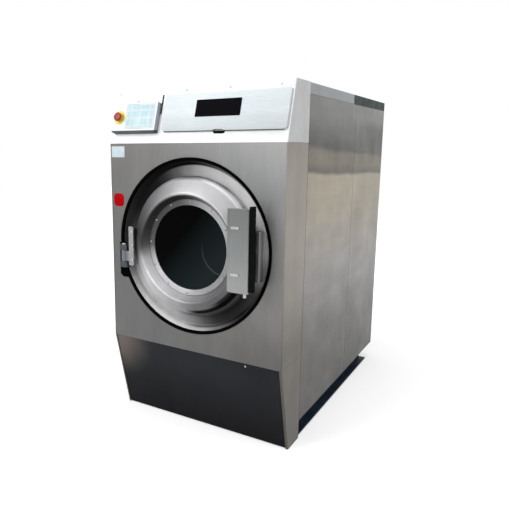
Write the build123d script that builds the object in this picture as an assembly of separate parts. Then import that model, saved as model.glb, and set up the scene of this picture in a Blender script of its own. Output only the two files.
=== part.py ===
from build123d import *
import math
import os

# A front-loading washer-extractor for a laundry room, bolted to the floor.
# Lengths are in millimetres and angles in degrees. X runs to the right of a person who faces
# the machine and Z runs up. Every depth is written from the front panel's face, towards the
# rear, and the whole machine is moved forward at the end so that its origin lies on the floor
# under the middle of its box.

# Cabinet
cabinet_width = 1000.0
cabinet_depth = 1605.0
cabinet_height = 1760.0
sheet = 2.0
bend_radius = 6.0
seam_gap = 0.8
panel_gap = 3.0
casing_flange = 242.0
lap_width = 15.0
return_width = 18.0
cover_flange = 52.0
cover_split = 923.0
side_split = 975.0
rail_clearance = 0.5
panel_foot = 28.0
frame_foot_gap = 2.0

# Front
fascia_rise = 274.0
fascia_tilt = 16.0
hole_margin = 65.0
hole_to_fold = 100.0
toe_setback = 108.0
cheek_lip = 12.0
toe_inset = 3.0
toe_floor_gap = 6.0
trim_width = 11.0
trim_lip = 4.0
trim_front = 3.0
trim_depth = 8.0
notch_side = 8.0
notch_drop = 54.0

# Base
rail_height = 96.5
rail_width = 50.0
rail_wall = 6.0
rail_foot = 8.0
rail_side_gap = 10.0
rail_start = 142.0
rail_rear_gap = 91.0
beam_depth = 60.0
beam_height = 80.0
anchor_radius = 9.0
anchor_first = 260.0
anchor_spacing = 1100.0

# Tub and basket
tub_side_clearance = 48.0
tub_top_clearance = 22.0
tub_wall = 3.0
tub_length = 706.0
tub_end_wall = 6.0
recess_depth = 38.0
recess_wall = 2.5
recess_draft = 20.0
mouth_inset = 105.0
fit_gap = 0.3
basket_gap = 43.0
basket_wall = 4.0
basket_front_gap = 14.0
basket_length = 620.0
basket_lip_gap = 11.0
lifter_height = 80.0
lifter_base = 120.0
lifter_crest = 44.0
lifter_count = 3
spider_hub_radius = 75.0
spider_thickness = 26.0
spider_arm = 70.0
spider_lip = 6.0
spider_rim_gap = 12.0
cradle_depth = 150.0
cradle_thickness = 12.0
cradle_height = 680.0

# Drive
shaft_radius = 40.0
running_fit = 0.05
bearing_radius = 62.0
bearing_length = 40.0
housing_radius = 90.0
housing_flange_radius = 150.0
housing_flange = 24.0
housing_length = 290.0
housing_nose = 16.0
seal_length = 12.0
frame_thickness = 24.0
frame_shoulder = 300.0
pulley_pitch_radius = 256.0
motor_pitch_radius = 56.0
belt_depth = 12.0
belt_width = 13.0
belt_pitch = 20.0
belt_count = 3
pulley_gap = 20.0
motor_x = 180.0
motor_radius = 110.0
motor_length = 240.0
motor_foot = 25.0
motor_shaft_radius = 19.0
motor_plate = 10.0

# Door
rim_gap = 85.0
rim_back_gap = 2.0
rim_shoulder = 12.0
rim_chamfer = 9.0
crest_inset = 82.0
crest_front = 54.0
door_wall = 10.0
glass_lap = 16.0
glass_thickness = 12.0
glass_proud = 4.0
glass_seat = 10.0
retainer_inset = 28.0
retainer_lap = 14.0
retainer_thickness = 8.0
retainer_bolts = 12
retainer_bolt_radius = 5.0
gasket_width = 26.0
gasket_depth = 14.0
gasket_gap = 0.5

# Hinge and latch of the door
hinge_edge_gap = 66.0
hinge_block_width = 52.0
hinge_block_height = 122.0
hinge_block_drop = 79.0
hinge_front = 28.0
hinge_pin_radius = 9.0
hinge_pin_front = 12.0
pin_head = 6.0
knuckle_radius = 16.0
ear_thickness = 30.0
knuckle_gap = 2.0
strap_thickness = 8.0
strap_height = 207.0
strap_width = 30.0
strap_drop = 21.5
strap_front = -30.0
strap_leg = 14.0
strap_bolt_inset = 30.0
strap_bolt_edge = 9.0
handle_height = 376.0
handle_width = 112.0
handle_rim_lap = 84.0
handle_rise = 30.0
handle_out = 120.0
handle_sheet = 3.0
handle_bevel = 23.0
handle_bevel_depth = 14.0
handle_side = 40.0
handle_pin_radius = 5.0
handle_pin_spacing = 212.0
handle_pin_inset = 14.0
handle_pin_back = 34.0
handle_lug = 34.0
handle_pad = 42.0
handle_pad_inset = 65.0
handle_foot_radius = 8.0
grip_width = 22.0
grip_depth = 28.0
bolt_head_radius = 8.0
bolt_head_height = 4.0
tongue_thickness = 5.0
tongue_height = 30.0
tongue_rim_gap = 5.0
tongue_boss_width = 28.0
tongue_boss_front = 64.0
lock_rim_gap = 3.0
lock_clearance = 2.0
lock_front = -8.0
lock_drop = 152.0
lock_rise = 85.0
bolt_y = -1.0
bolt_radius = 5.0
bolt_slide = 7.5

# Control fascia
pod_margin = 22.0
pod_width = 274.0
pod_bottom = 50.0
pod_height = 156.0
pod_depth = 30.0
pod_wall = 3.0
screen_width = 186.0
screen_height = 133.0
screen_margin = 8.0
screen_bottom = 65.0
estop_from_left = 44.0
estop_up = 127.0
estop_disc_radius = 35.0
estop_collar_radius = 17.0
estop_head_radius = 23.0
estop_neck_radius = 11.0
estop_travel = 5.0
lid_gap = 30.0
lid_margin = 12.0
lid_bottom = 55.0
lid_height = 185.0
lid_depth = 10.5
lid_stand = 2.0
lid_corner = 18.0
lid_rim = 7.0
notch_width = 64.0
notch_from_right = 306.0
lid_rod_radius = 3.0
lid_lug_radius = 4.2
lid_lug_width = 3.0
hopper_drop = 34.0
hopper_wall = 3.0
hopper_clearance = 2.5
rim_thickness = 4.0
hopper_depth = 250.0
cup_height = 96.0
cup_count = 5

# Services at the rear
rear_reach = 60.0
drain_pipe_radius = 38.0
drain_wall = 4.0
drain_y = 420.0
drain_neck = 36.0
elbow_radius = 70.0
drain_height = 302.0
pipe_collar_radius = 52.0
pipe_collar = 6.0
actuator_reach = 90.0
ball_radius = 42.0
ball_bore = 30.0
valve_half = 56.0
inlet_radius = 13.2
inlet_bore = 9.7
inlet_reach = 35.0
inlet_nut_radius = 20.0
inlet_nut = 8.0
inlet_spacing = 120.0
inlet_below_top = 130.0
gland_bore = 9.0
gland_x = -330.0
gland_below_top = 170.0
inverter_gap = 56.0

# Places that follow from the values above
half_width = cabinet_width / 2
inner_half = half_width - sheet
tilt = math.radians(fascia_tilt)
seam_z = cabinet_height - fascia_rise
hopper_floor = seam_z - hopper_drop
tub_radius = inner_half - tub_side_clearance
drum_z = hopper_floor - tub_top_clearance - tub_radius
hole_radius = half_width - hole_margin
fold_z = drum_z - hole_radius - hole_to_fold
rim_radius = hole_radius - rim_gap
mouth_radius = rim_radius - mouth_inset
basket_radius = tub_radius - tub_wall - basket_gap
tub_back = recess_depth + tub_length
basket_front = recess_depth + tub_end_wall + basket_front_gap
basket_back = basket_front + basket_length
frame_back = tub_back + tub_end_wall + frame_thickness
side_bottom = rail_height + rail_clearance
frame_half = inner_half - panel_foot - frame_foot_gap
side_top = cabinet_height - cover_flange - panel_gap
shift_y = -(cabinet_depth + rear_reach - handle_out - bolt_head_height) / 2
drum_axis = Axis((0, 0, 0), (0, 1, 0))
fascia = Plane(
    origin=(0, 0, seam_z),
    x_dir=(1, 0, 0),
    z_dir=(0, -math.cos(tilt), math.sin(tilt)),
)

nodes = {}


def block(x, y, z):
    """A box between the low and the high value given for each axis."""
    middle = [(low + high) / 2 for low, high in (x, y, z)]
    return Pos(*middle) * Box(*[high - low for low, high in (x, y, z)])


def mirrored(low, high):
    """The same span on the left of the middle plane."""
    return (-high, -low)


def outline(points, radius=0.0):
    """A closed face through the points, with each corner rounded to its radius."""
    radii = radius if isinstance(radius, (list, tuple)) else [radius] * len(points)
    if any(radii):
        return make_face(FilletPolyline(*points, radius=radii, close=True))
    return make_face(Polyline(*points, close=True))


def across(points, x_low, x_high, radius=0.0):
    """A side view, given as depth and height, carried from one X to another."""
    return extrude(Plane.YZ.offset(x_low) * outline(points, radius), x_high - x_low)


def front_to_back(face, y_low, y_high):
    """A front view, given as X and Z, carried from one depth to another."""
    view = Plane(origin=(0, y_high, 0), x_dir=(1, 0, 0), z_dir=(0, -1, 0))
    return extrude(view * face, y_high - y_low)


def upwards(face, z_low, z_high):
    """A plan view carried from one height to another."""
    return extrude(Pos(0, 0, z_low) * face, z_high - z_low)


def on_drum(part):
    """Moves a part that is drawn about the Y axis up to the drum's axis."""
    return Pos(0, 0, drum_z) * part


def turned(profile, radius=0.0):
    """A ring about the drum's axis, from a profile of radius and depth."""
    return on_drum(revolve(outline(profile, radius), drum_axis))


def tube(radius, y_low, y_high, bore=0.0):
    """A round bar or a tube on the drum's axis."""
    ring = Circle(radius) - Circle(bore) if bore else Circle(radius)
    return on_drum(front_to_back(ring, y_low, y_high))


def rod(start, end, radius):
    """A round bar between two points."""
    way = Vector(*end) - Vector(*start)
    return extrude(Plane(origin=start, z_dir=way) * Circle(radius), way.length)


def around_drum(part, angle):
    """Turns a part about the drum's axis, from where it stands at the drum's right."""
    centre = Pos(0, 0, drum_z)
    return centre * Rot(0, -angle, 0) * centre.inverse() * part


def on_fascia(x, s, out):
    """A box on the fascia: X, distance up the slope from the seam, and distance outwards."""
    return fascia * block(x, s, out)


def fascia_plate(points, low, high, radius=0.0):
    """An outline on the fascia carried from one distance outwards to another."""
    return extrude(fascia * Pos(0, 0, low) * outline(points, radius), high - low)


def fascia_pin(x, s, low, high, radius):
    """A round bar that stands square on the fascia."""
    return extrude(fascia * Pos(x, s, low) * Circle(radius), high - low)


def corners(x, s):
    """The four corners of a rectangle, round from the lower left."""
    return [(x[0], s[0]), (x[1], s[0]), (x[1], s[1]), (x[0], s[1])]


def nearest_edge(part, point):
    """The edge of a part that passes nearest to a point."""
    return part.edges().sort_by_distance(point)[0]


# Base: two channel rails that open outwards, tied by a box beam at the front
rail_end = cabinet_depth - rail_rear_gap
rail_outer = half_width - rail_side_gap
rail_inner = rail_outer - rail_width
anchor_x = (rail_inner + rail_wall + rail_outer) / 2


def base_rail(side):
    channel = outline([
        (rail_inner, 0), (rail_outer, 0), (rail_outer, rail_foot),
        (rail_inner + rail_wall, rail_foot),
        (rail_inner + rail_wall, rail_height - rail_wall),
        (rail_outer, rail_height - rail_wall), (rail_outer, rail_height),
        (rail_inner, rail_height),
    ])
    rail = front_to_back(channel, rail_start, rail_end)
    for y in (anchor_first, anchor_first + anchor_spacing):
        rail -= rod((anchor_x, y, -1), (anchor_x, y, rail_foot + 1), anchor_radius)
    return rail if side > 0 else mirror(rail, Plane.YZ)


def base_beam():
    span = (-rail_inner, rail_inner)
    depth = (rail_start + rail_wall, rail_start + rail_wall + beam_depth)
    tube_wall = rail_wall
    hollow = block(
        (-rail_inner - 1, rail_inner + 1),
        (depth[0] + tube_wall, depth[1] - tube_wall),
        (tube_wall, beam_height - tube_wall),
    )
    return block(span, depth, (0, beam_height)) - hollow


nodes["base_rail_left"] = base_rail(-1)
nodes["base_rail_right"] = base_rail(1)
nodes["base_front_beam"] = base_beam()


# Front casing: the pressed front panel, the two cheeks and the toe panel between them
def hinge_side():
    """The left and right edges and the lower and upper ends of the hinge block."""
    left = -half_width + hinge_edge_gap
    low = drum_z - hinge_block_drop - hinge_block_height / 2
    return (left, left + hinge_block_width), (low, low + hinge_block_height)


def door_hole(grow=0.0):
    """The round hole in the front panel, with its square notch for the hinge block."""
    block_x, block_z = hinge_side()
    left = block_x[0] - notch_side - grow
    foot = block_z[0] - notch_drop - grow
    top = block_z[1] + 4 + grow
    notch = outline([
        (left, top), (left, foot + notch_side * 2), (left + notch_side * 2, foot),
        (block_x[1], foot), (block_x[1] + 40, foot + notch_side * 2), (block_x[1] + 40, top),
    ])
    return Pos(0, drum_z) * Circle(hole_radius + grow) + notch


def casing_lap(z_low, z_high):
    """The strip inside a casing's side flange that the side panel laps over."""
    span = (inner_half - sheet, inner_half)
    depth = (casing_flange - lap_width, casing_flange + lap_width)
    return block(span, depth, (z_low, z_high)) + block(mirrored(*span), depth, (z_low, z_high))


def front_panel():
    outer = outline(
        corners((-half_width, half_width), (0, casing_flange)),
        [bend_radius, bend_radius, 0, 0],
    )
    inner_bend = bend_radius - sheet
    inner = outline(
        corners((-inner_half, inner_half), (sheet, casing_flange + 1)),
        [inner_bend, inner_bend, 0, 0],
    )
    top = seam_z - seam_gap / 2
    panel = upwards(outer - inner, fold_z, top)
    inside = half_width - bend_radius
    panel += block((-inside, inside), (sheet / 2, return_width), (fold_z, fold_z + sheet))
    panel += block((-inside, inside), (sheet / 2, return_width), (top - sheet, top))
    panel += casing_lap(fold_z, top)
    return panel - front_to_back(door_hole(), -1, sheet + 1)


slope_length = math.hypot(toe_setback, fold_z)


def toe_depth(z, inset=0.0):
    """Depth of the sloping toe's face at a height, set in square to the slope."""
    return toe_setback * (fold_z - z) / fold_z + inset * slope_length / fold_z


def cheek(side):
    top = fold_z - seam_gap
    face = [(toe_depth(top), top), (toe_depth(0), 0), (casing_flange, 0), (casing_flange, top)]
    shell = across(face, half_width - cheek_lip, half_width)
    corner = nearest_edge(shell, (half_width, toe_depth(top / 2), top / 2))
    shell = fillet(corner, bend_radius)
    hollow = [
        (toe_depth(top + 1, sheet), top + 1), (toe_depth(-1, sheet), -1),
        (casing_flange + 1, -1), (casing_flange + 1, top + 1),
    ]
    shell -= across(hollow, half_width - cheek_lip - 1, inner_half)
    shell += block(
        (inner_half - sheet, inner_half),
        (casing_flange - lap_width, casing_flange + lap_width),
        (rail_height + rail_clearance, top),
    )
    return shell if side > 0 else mirror(shell, Plane.YZ)


def toe_panel():
    low, high = toe_floor_gap, fold_z - seam_gap
    back = return_width + toe_inset
    section = [
        (toe_depth(high, toe_inset), high), (toe_depth(low, toe_inset), low),
        (toe_depth(low) + back, low), (toe_depth(low) + back, low + sheet),
        (toe_depth(low + sheet, toe_inset + sheet), low + sheet),
        (toe_depth(high - sheet, toe_inset + sheet), high - sheet),
        (toe_depth(high) + back, high - sheet), (toe_depth(high) + back, high),
    ]
    reach = half_width - cheek_lip - seam_gap
    return across(section, -reach, reach)


nodes["front_panel"] = front_panel()
nodes["cheek_left"] = cheek(-1)
nodes["cheek_right"] = cheek(1)
nodes["toe_panel"] = toe_panel()


# Black rubber edging round the hole
def door_trim():
    inner = Pos(0, drum_z) * Circle(hole_radius - trim_width)
    ring = front_to_back(door_hole(-fit_gap) - inner, 0, trim_depth)
    ring += front_to_back(door_hole(trim_lip) - inner, -trim_front, 0)
    block_x, block_z = hinge_side()
    clear = (block_x[0] - 1, block_x[1] + knuckle_gap)
    return ring - block(clear, (-50, 50), (block_z[0] - 1, block_z[1] + pin_head + 2))


nodes["door_trim"] = door_trim()


# Control fascia: a tilted shell whose sides meet the top cover
lid_left = -half_width + pod_margin + pod_width + lid_gap
lid_right = half_width - lid_margin
lid_x = (lid_left, lid_right)
lid_s = (lid_bottom, lid_bottom + lid_height)
window_x = (lid_left + lid_rim, lid_right - lid_rim)
window_s = (lid_bottom + lid_rim, lid_bottom + lid_height - 2 * lid_rim)
rod_s = lid_s[1] - 4
rod_out = 6.0
notch_x = (lid_right - notch_from_right - notch_width, lid_right - notch_from_right)
pod_x = (-half_width + pod_margin, -half_width + pod_margin + pod_width)
pod_s = (pod_bottom, pod_bottom + pod_height)


def fascia_section(inset, low, high, back):
    """The side view of the fascia's shell, set in by a wall from its slope."""
    def depth(z):
        return (z - seam_z) * math.tan(tilt) + inset / math.cos(tilt)
    return [(depth(low), low), (depth(high), high), (back, high), (back, low)]


def lid_lugs():
    """Two tabs inside the lid that carry the ends of its hinge rod."""
    lugs = []
    for x in (lid_left + 20, lid_right - 23):
        span = (x, x + lid_lug_width)
        stem = on_fascia(span, (rod_s - lid_lug_radius, rod_s + lid_lug_radius), (-1, rod_out))
        end = fascia * rod((span[0], rod_s, rod_out), (span[1], rod_s, rod_out), lid_lug_radius)
        lugs.append(stem + end)
    bore = fascia * rod(
        (lid_left, rod_s, rod_out), (lid_right, rod_s, rod_out), lid_rod_radius + running_fit
    )
    return [tab - bore for tab in lugs]


def control_fascia():
    base = seam_z + seam_gap / 2
    shell = across(
        fascia_section(0, base, cabinet_height, casing_flange), -half_width, half_width
    )
    middle = (base + cabinet_height) / 2
    for side in (-half_width, half_width):
        slope = nearest_edge(shell, (side, (middle - seam_z) * math.tan(tilt), middle))
        shell = fillet(slope, bend_radius)
    shell -= across(
        fascia_section(sheet, base - 1, cabinet_height - sheet, casing_flange + 1),
        -inner_half, inner_half,
    )
    inside = half_width - bend_radius
    shell += block((-inside, inside), (sheet, return_width), (base, base + sheet))
    shell += casing_lap(base, cabinet_height - 2 * bend_radius)
    shell -= fascia_plate(corners(window_x, window_s), -sheet - 1, 1, lid_corner - lid_rim)
    finger = corners(notch_x, (lid_bottom - 11, lid_bottom + 5))
    shell -= fascia_plate(finger, -sheet - 1, 1, [10, 10, 2, 2])
    for tab in lid_lugs():
        shell += tab
    return shell


nodes["control_fascia"] = control_fascia()


# Lid of the supply dispenser, a shallow pan that hangs on a rod along its top
def dispenser_lid():
    outer = fascia_plate(
        corners(lid_x, lid_s), lid_stand, lid_stand + lid_depth,
        [lid_corner, lid_corner, 4, 4],
    )
    face = outer.faces().sort_by(Axis((0, 0, 0), fascia.z_dir))[-1]
    outer = fillet(face.edges(), 2)
    inner_x = (lid_x[0] + sheet, lid_x[1] - sheet)
    inner_s = (lid_s[0] + sheet, lid_s[1] + 1)
    outer -= fascia_plate(
        corners(inner_x, inner_s), lid_stand - 1, lid_stand + lid_depth - sheet,
        [lid_corner - sheet, lid_corner - sheet, 0, 0],
    )
    grip = corners((notch_x[0] + 4, notch_x[1] - 4), (lid_s[0] - 1, lid_s[0] + 6))
    outer -= fascia_plate(grip, lid_stand - 1, lid_stand + lid_depth + 1, [0, 0, 5, 5])
    bore = fascia * rod(
        (lid_x[0] - 1, rod_s, rod_out), (lid_x[1] + 1, rod_s, rod_out),
        lid_rod_radius + running_fit,
    )
    return outer - bore


nodes["dispenser_lid"] = dispenser_lid()
nodes["lid_hinge_rod"] = fascia * rod(
    (lid_x[0] + 0.5, rod_s, rod_out), (lid_x[1] - 0.5, rod_s, rod_out), lid_rod_radius
)


# Supply dispenser: a moulded hopper with a row of cups behind the lid
def dispenser_hopper():
    top = seam_z + (lid_s[1] + 2) * math.cos(tilt)
    rim_back = sheet + rim_thickness

    def side_view(inset, low, high):
        """The cups' front wall stands behind the folded seam, then follows the slope."""
        front = return_width + hopper_clearance + inset
        start = seam_z + (front - (rim_back + inset) / math.cos(tilt)) / math.tan(tilt)
        line = fascia_section(rim_back + inset, start, high, hopper_depth - inset)
        return [(front, low), line[0], line[1], line[2], (hopper_depth - inset, low)]

    shell = across(side_view(0, hopper_floor, top), window_x[0] - 4, window_x[1] + 4)
    shell -= across(
        side_view(hopper_wall, hopper_floor + hopper_wall, top + 1),
        window_x[0] - 4 + hopper_wall, window_x[1] + 4 - hopper_wall,
    )
    cup_top = hopper_floor + cup_height
    cup_pitch = (window_x[1] - window_x[0] + 8 - hopper_wall) / cup_count
    for index in range(1, cup_count):
        x = window_x[0] - 4 + index * cup_pitch
        depth = (0, hopper_depth - 1)
        wall = block((x, x + hopper_wall), depth, (hopper_floor + 1, cup_top))
        shell += wall & across(side_view(1, hopper_floor, top), -half_width, half_width)
    reach = (window_x[0] - 4 + hopper_wall, window_x[1] + 4 - hopper_wall)
    shell -= block(reach, (-50, hopper_depth / 2), (cup_top, top + 1))
    rim = fascia_plate(
        corners((lid_x[0] + 1, lid_x[1] - 1), (lid_s[0] - 14, lid_s[1])), -rim_back, -sheet
    )
    return shell + (rim - fascia_plate(corners(window_x, window_s), -rim_back - 1, 0, 8))


nodes["dispenser_hopper"] = dispenser_hopper()


# Screen pod, touch screen and emergency stop
estop_x = pod_x[0] + estop_from_left
screen_x = (pod_x[1] - screen_margin - screen_width, pod_x[1] - screen_margin)
screen_s = (screen_bottom, screen_bottom + screen_height)
disc_top = pod_depth + 2
collar_top = disc_top + 5
head_base = collar_top + estop_travel + 1
stem_radius = 6.0


def grown(span, amount):
    return (span[0] - amount, span[1] + amount)


def screen_pod():
    shell = fascia_plate(corners(pod_x, pod_s), 0, pod_depth, 8)
    face = shell.faces().sort_by(Axis((0, 0, 0), fascia.z_dir))[-1]
    shell = fillet(face.edges(), 2.5)
    hollow = corners(grown(pod_x, -pod_wall), grown(pod_s, -pod_wall))
    shell -= fascia_plate(hollow, -1, pod_depth - pod_wall, 5)
    pocket = corners(screen_x, screen_s)
    shell -= fascia_plate(pocket, pod_depth - pod_wall / 2, pod_depth + 1, 3)
    window = corners(grown(screen_x, -4), grown(screen_s, -4))
    shell -= fascia_plate(window, 0, pod_depth + 1)
    shell -= fascia_pin(estop_x, estop_up, 1, pod_depth + 1, estop_neck_radius + fit_gap)
    middle = (pod_x[0] + pod_x[1]) / 2
    return shell + on_fascia((middle - 9, middle + 9), (pod_s[1] - 1, pod_s[1] + 8), (4, 18))


def touch_screen():
    seat = pod_depth - pod_wall / 2
    slack = -fit_gap
    glass = corners(grown(screen_x, slack), grown(screen_s, slack))
    screen = fascia_plate(glass, seat, pod_depth + 0.5, 2.5)
    module = corners(grown(screen_x, -8), grown(screen_s, -8))
    return screen + fascia_plate(module, 5, seat + 0.5)


def estop_base():
    body = fascia_pin(estop_x, estop_up, 3, disc_top, estop_neck_radius)
    body += fascia_pin(estop_x, estop_up, pod_depth, disc_top, estop_disc_radius)
    body += fascia_pin(estop_x, estop_up, disc_top - 1, collar_top, estop_collar_radius)
    return body - fascia_pin(estop_x, estop_up, 2, collar_top + 1, stem_radius + running_fit)


def estop_head():
    profile = [
        (0, head_base), (estop_head_radius - 4, head_base),
        (estop_head_radius, head_base + 3), (estop_head_radius, head_base + 8),
        (estop_head_radius - 4, head_base + 12), (0, head_base + 14),
    ]
    mushroom = revolve(Plane.XZ * outline(profile, [0, 1.5, 1.5, 3, 3, 0]), Axis.Z)
    stem = fascia_pin(estop_x, estop_up, 9, head_base + 2, stem_radius)
    return fascia * Pos(estop_x, estop_up, 0) * mushroom + stem


nodes["screen_pod"] = screen_pod()
nodes["touch_screen"] = touch_screen()
nodes["estop_base"] = estop_base()
nodes["estop_head"] = estop_head()


# Top covers and side panels
def top_cover(y_low, y_high):
    low = cabinet_height - cover_flange
    outer = outline(
        corners((-half_width, half_width), (low, cabinet_height)),
        [0, 0, bend_radius, bend_radius],
    )
    inner_bend = bend_radius - sheet
    inner = outline(
        corners((-inner_half, inner_half), (low - 1, cabinet_height - sheet)),
        [0, 0, inner_bend, inner_bend],
    )
    return front_to_back(outer - inner, y_low, y_high)


def cover_lap():
    """The strip under the joint between the two covers."""
    inside = inner_half - bend_radius
    depth = (cover_split - lap_width, cover_split + lap_width)
    return block((-inside, inside), depth, (cabinet_height - 2 * sheet, cabinet_height - sheet))


def side_panels(side):
    """The front and rear panels of one side, which lap over the casing's flange."""
    front = (casing_flange + panel_gap, side_split - panel_gap / 2)
    rear = (side_split + panel_gap / 2, cabinet_depth)
    panels = []
    for low, high in (front, rear):
        panel = block((inner_half, half_width), (low, high), (side_bottom, side_top))
        foot = (inner_half - panel_foot, half_width - sheet / 2)
        reach = (low + lap_width, high - 2 * lap_width)
        panel += block(foot, reach, (side_bottom, side_bottom + sheet))
        top_lap = (side_top - lap_width, side_top + lap_width)
        depth = (low + 2 * lap_width, high - 2 * lap_width)
        panel += block((inner_half - sheet, inner_half), depth, top_lap)
        panels.append(panel)
    lap = block(
        (inner_half - sheet, inner_half),
        (front[1] - lap_width, front[1] + lap_width),
        (side_bottom + 2 * lap_width, side_top - 2 * lap_width),
    )
    panels[0] += lap
    if side < 0:
        panels = [mirror(panel, Plane.YZ) for panel in panels]
    return panels


nodes["top_cover_front"] = top_cover(casing_flange + seam_gap, cover_split) + cover_lap()
nodes["top_cover_rear"] = top_cover(cover_split + panel_gap, cabinet_depth)
nodes["side_panels_left"] = side_panels(-1)
nodes["side_panels_right"] = side_panels(1)


# Tub: a rolled shell between a dished front plate and a flat back plate
tub_axis = (0, drum_z)


def tub_front():
    floor, back = recess_depth, recess_depth + tub_end_wall
    outer = hole_radius - trim_width
    foot = outer - recess_draft
    plate = turned([
        (mouth_radius, back), (mouth_radius, floor), (foot, floor),
        (outer, trim_depth + fit_gap), (outer + recess_wall, trim_depth + fit_gap),
        (foot + 2 * recess_wall, floor), (tub_radius, floor), (tub_radius, back),
    ])
    block_x, block_z = hinge_side()
    clear_x = (block_x[0] - 20, block_x[1] + knuckle_gap)
    clear_z = (block_z[0] - knuckle_gap, block_z[1] + knuckle_gap)
    return plate - block(clear_x, (-50, floor), clear_z)


def tub_shell():
    shell = tube(tub_radius, recess_depth + tub_end_wall, tub_back, tub_radius - tub_wall)
    return shell - rod((0, drain_y, 0), (0, drain_y, drum_z), ball_bore)


def tub_cradle():
    low = rail_height
    half = rail_outer
    plate = outline(corners((-half, half), (low, cradle_height + low)), [0, 0, 30, 30])
    seat = Pos(*tub_axis) * Circle(tub_radius + fit_gap)
    return front_to_back(plate - seat, cradle_depth, cradle_depth + cradle_thickness)


nodes["tub_front"] = tub_front()
nodes["tub_shell"] = tub_shell()
nodes["tub_back"] = tube(
    tub_radius, tub_back, tub_back + tub_end_wall, housing_radius + fit_gap
)
nodes["tub_cradle"] = tub_cradle()
nodes["door_gasket"] = turned(
    [
        (mouth_radius + 3, recess_depth), (mouth_radius + 3, recess_depth - gasket_depth + 4),
        (mouth_radius + 8, recess_depth - gasket_depth),
        (mouth_radius + gasket_width, recess_depth - gasket_depth),
        (mouth_radius + gasket_width + 3, recess_depth),
    ],
    [0, 2, 2, 4, 0],
)


# Basket, lifters, spider and shaft
def basket_shell():
    front, back = basket_front, basket_back
    wall = basket_wall
    lip = mouth_radius + basket_lip_gap
    return turned([
        (lip, front), (basket_radius, front), (basket_radius, back), (0, back),
        (0, back - wall), (basket_radius - wall, back - wall),
        (basket_radius - wall, front + wall), (lip + wall, front + wall),
        (lip + wall, front + 3 * wall), (lip, front + 3 * wall),
    ])


def basket_lifters():
    inner = basket_radius - basket_wall
    crest = inner - lifter_height
    section = outline(
        [
            (crest, -lifter_crest / 2), (inner + 5, -lifter_base / 2),
            (inner + 5, lifter_base / 2), (crest, lifter_crest / 2),
        ],
        [12, 0, 0, 12],
    )
    length = (basket_front + 6 * basket_wall, basket_back - 2 * basket_wall)
    bound = on_drum(front_to_back(Circle(inner - fit_gap), *length))
    rib = on_drum(front_to_back(section, *length)) & bound
    return [around_drum(rib, 90 + 360 / lifter_count * index) for index in range(lifter_count)]


def basket_spider():
    front = basket_back
    back = front + spider_thickness
    hub = tube(spider_hub_radius, front, back + spider_lip)
    reach = basket_radius - spider_rim_gap
    for index in range(lifter_count):
        arm = on_drum(front_to_back(
            outline([
                (0, -spider_arm / 2), (reach, -spider_arm / 3),
                (reach, spider_arm / 3), (0, spider_arm / 2),
            ]),
            front, back,
        ))
        hub += around_drum(arm, 90 + 360 / lifter_count * index)
    return hub


spider_back = basket_back + spider_thickness + spider_lip
pulley_front = frame_back + housing_length + pulley_gap
pulley_width = belt_pitch * belt_count + 8
pulley_back = pulley_front + pulley_width

nodes["basket_shell"] = basket_shell()
nodes["basket_lifters"] = basket_lifters()
nodes["basket_spider"] = basket_spider()
nodes["drive_shaft"] = (
    tube(shaft_radius, spider_back, pulley_back + 6)
    + tube(shaft_radius + 14, spider_back, spider_back + 8)
)


# Bearing frame and housing behind the tub
def bearing_frame():
    low, foot = rail_height, frame_half
    top = drum_z + housing_flange_radius + 40
    plate = outline([
        (-foot, low), (foot, low), (foot, low + frame_shoulder),
        (housing_flange_radius, top), (-housing_flange_radius, top),
        (-foot, low + frame_shoulder),
    ], [0, 0, 60, 40, 40, 60])
    plate -= Pos(*tub_axis) * Circle(housing_radius + fit_gap)
    plate -= Pos(0, pipe_z) * Circle(drain_pipe_radius + 8)
    return front_to_back(plate, tub_back + tub_end_wall, frame_back)


def bearing_housing():
    front = tub_back - housing_nose
    body = tube(housing_radius, front, frame_back + housing_length)
    body += tube(housing_flange_radius, frame_back, frame_back + housing_flange)
    for index in range(6):
        rib = block(
            (housing_radius - 5, housing_flange_radius - 12),
            (frame_back + housing_flange - 1, frame_back + housing_length * 0.6),
            (drum_z - 6, drum_z + 6),
        )
        body += around_drum(rib, 30 + 60 * index)
    body -= tube(bearing_radius + running_fit, front - 1, front + seal_length + bearing_length)
    body -= tube(bearing_radius - 8, front, frame_back + housing_length + 1)
    rear_seat = frame_back + housing_length - bearing_length
    return body - tube(bearing_radius + running_fit, rear_seat, rear_seat + bearing_length + 1)


housing_front = tub_back - housing_nose
housing_rear = frame_back + housing_length
drain_valve_top = drum_z - tub_radius - drain_neck
ball_z = drain_valve_top - valve_half
pipe_z = drain_height

nodes["bearing_frame"] = bearing_frame()
nodes["bearing_housing"] = bearing_housing()
nodes["shaft_bearings"] = [
    tube(bearing_radius, low, low + bearing_length, shaft_radius + running_fit)
    for low in (housing_front + seal_length, housing_rear - bearing_length)
]
nodes["shaft_seal"] = tube(
    bearing_radius, housing_front, housing_front + seal_length - fit_gap, shaft_radius + fit_gap
)


# Belt drive: two grooved pulleys, the belts and the motor on its plate
motor_z = rail_height + motor_plate + motor_foot + motor_radius
belt_span = math.hypot(motor_x, drum_z - motor_z)
belt_centres = [
    pulley_front + 4 + belt_pitch * (index + 0.5) for index in range(belt_count)
]


def grooved(pitch_radius, bore):
    """The profile of a pulley's rim, with a straight groove for each belt."""
    bottom = pitch_radius - belt_depth / 2 - fit_gap
    top = pitch_radius + belt_depth / 2
    points = [(bore, pulley_back), (bore, pulley_front), (top, pulley_front)]
    for middle in belt_centres:
        half = belt_width / 2 + fit_gap
        points += [
            (top, middle - half), (bottom, middle - half),
            (bottom, middle + half), (top, middle + half),
        ]
    return points + [(top, pulley_back)]


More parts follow.
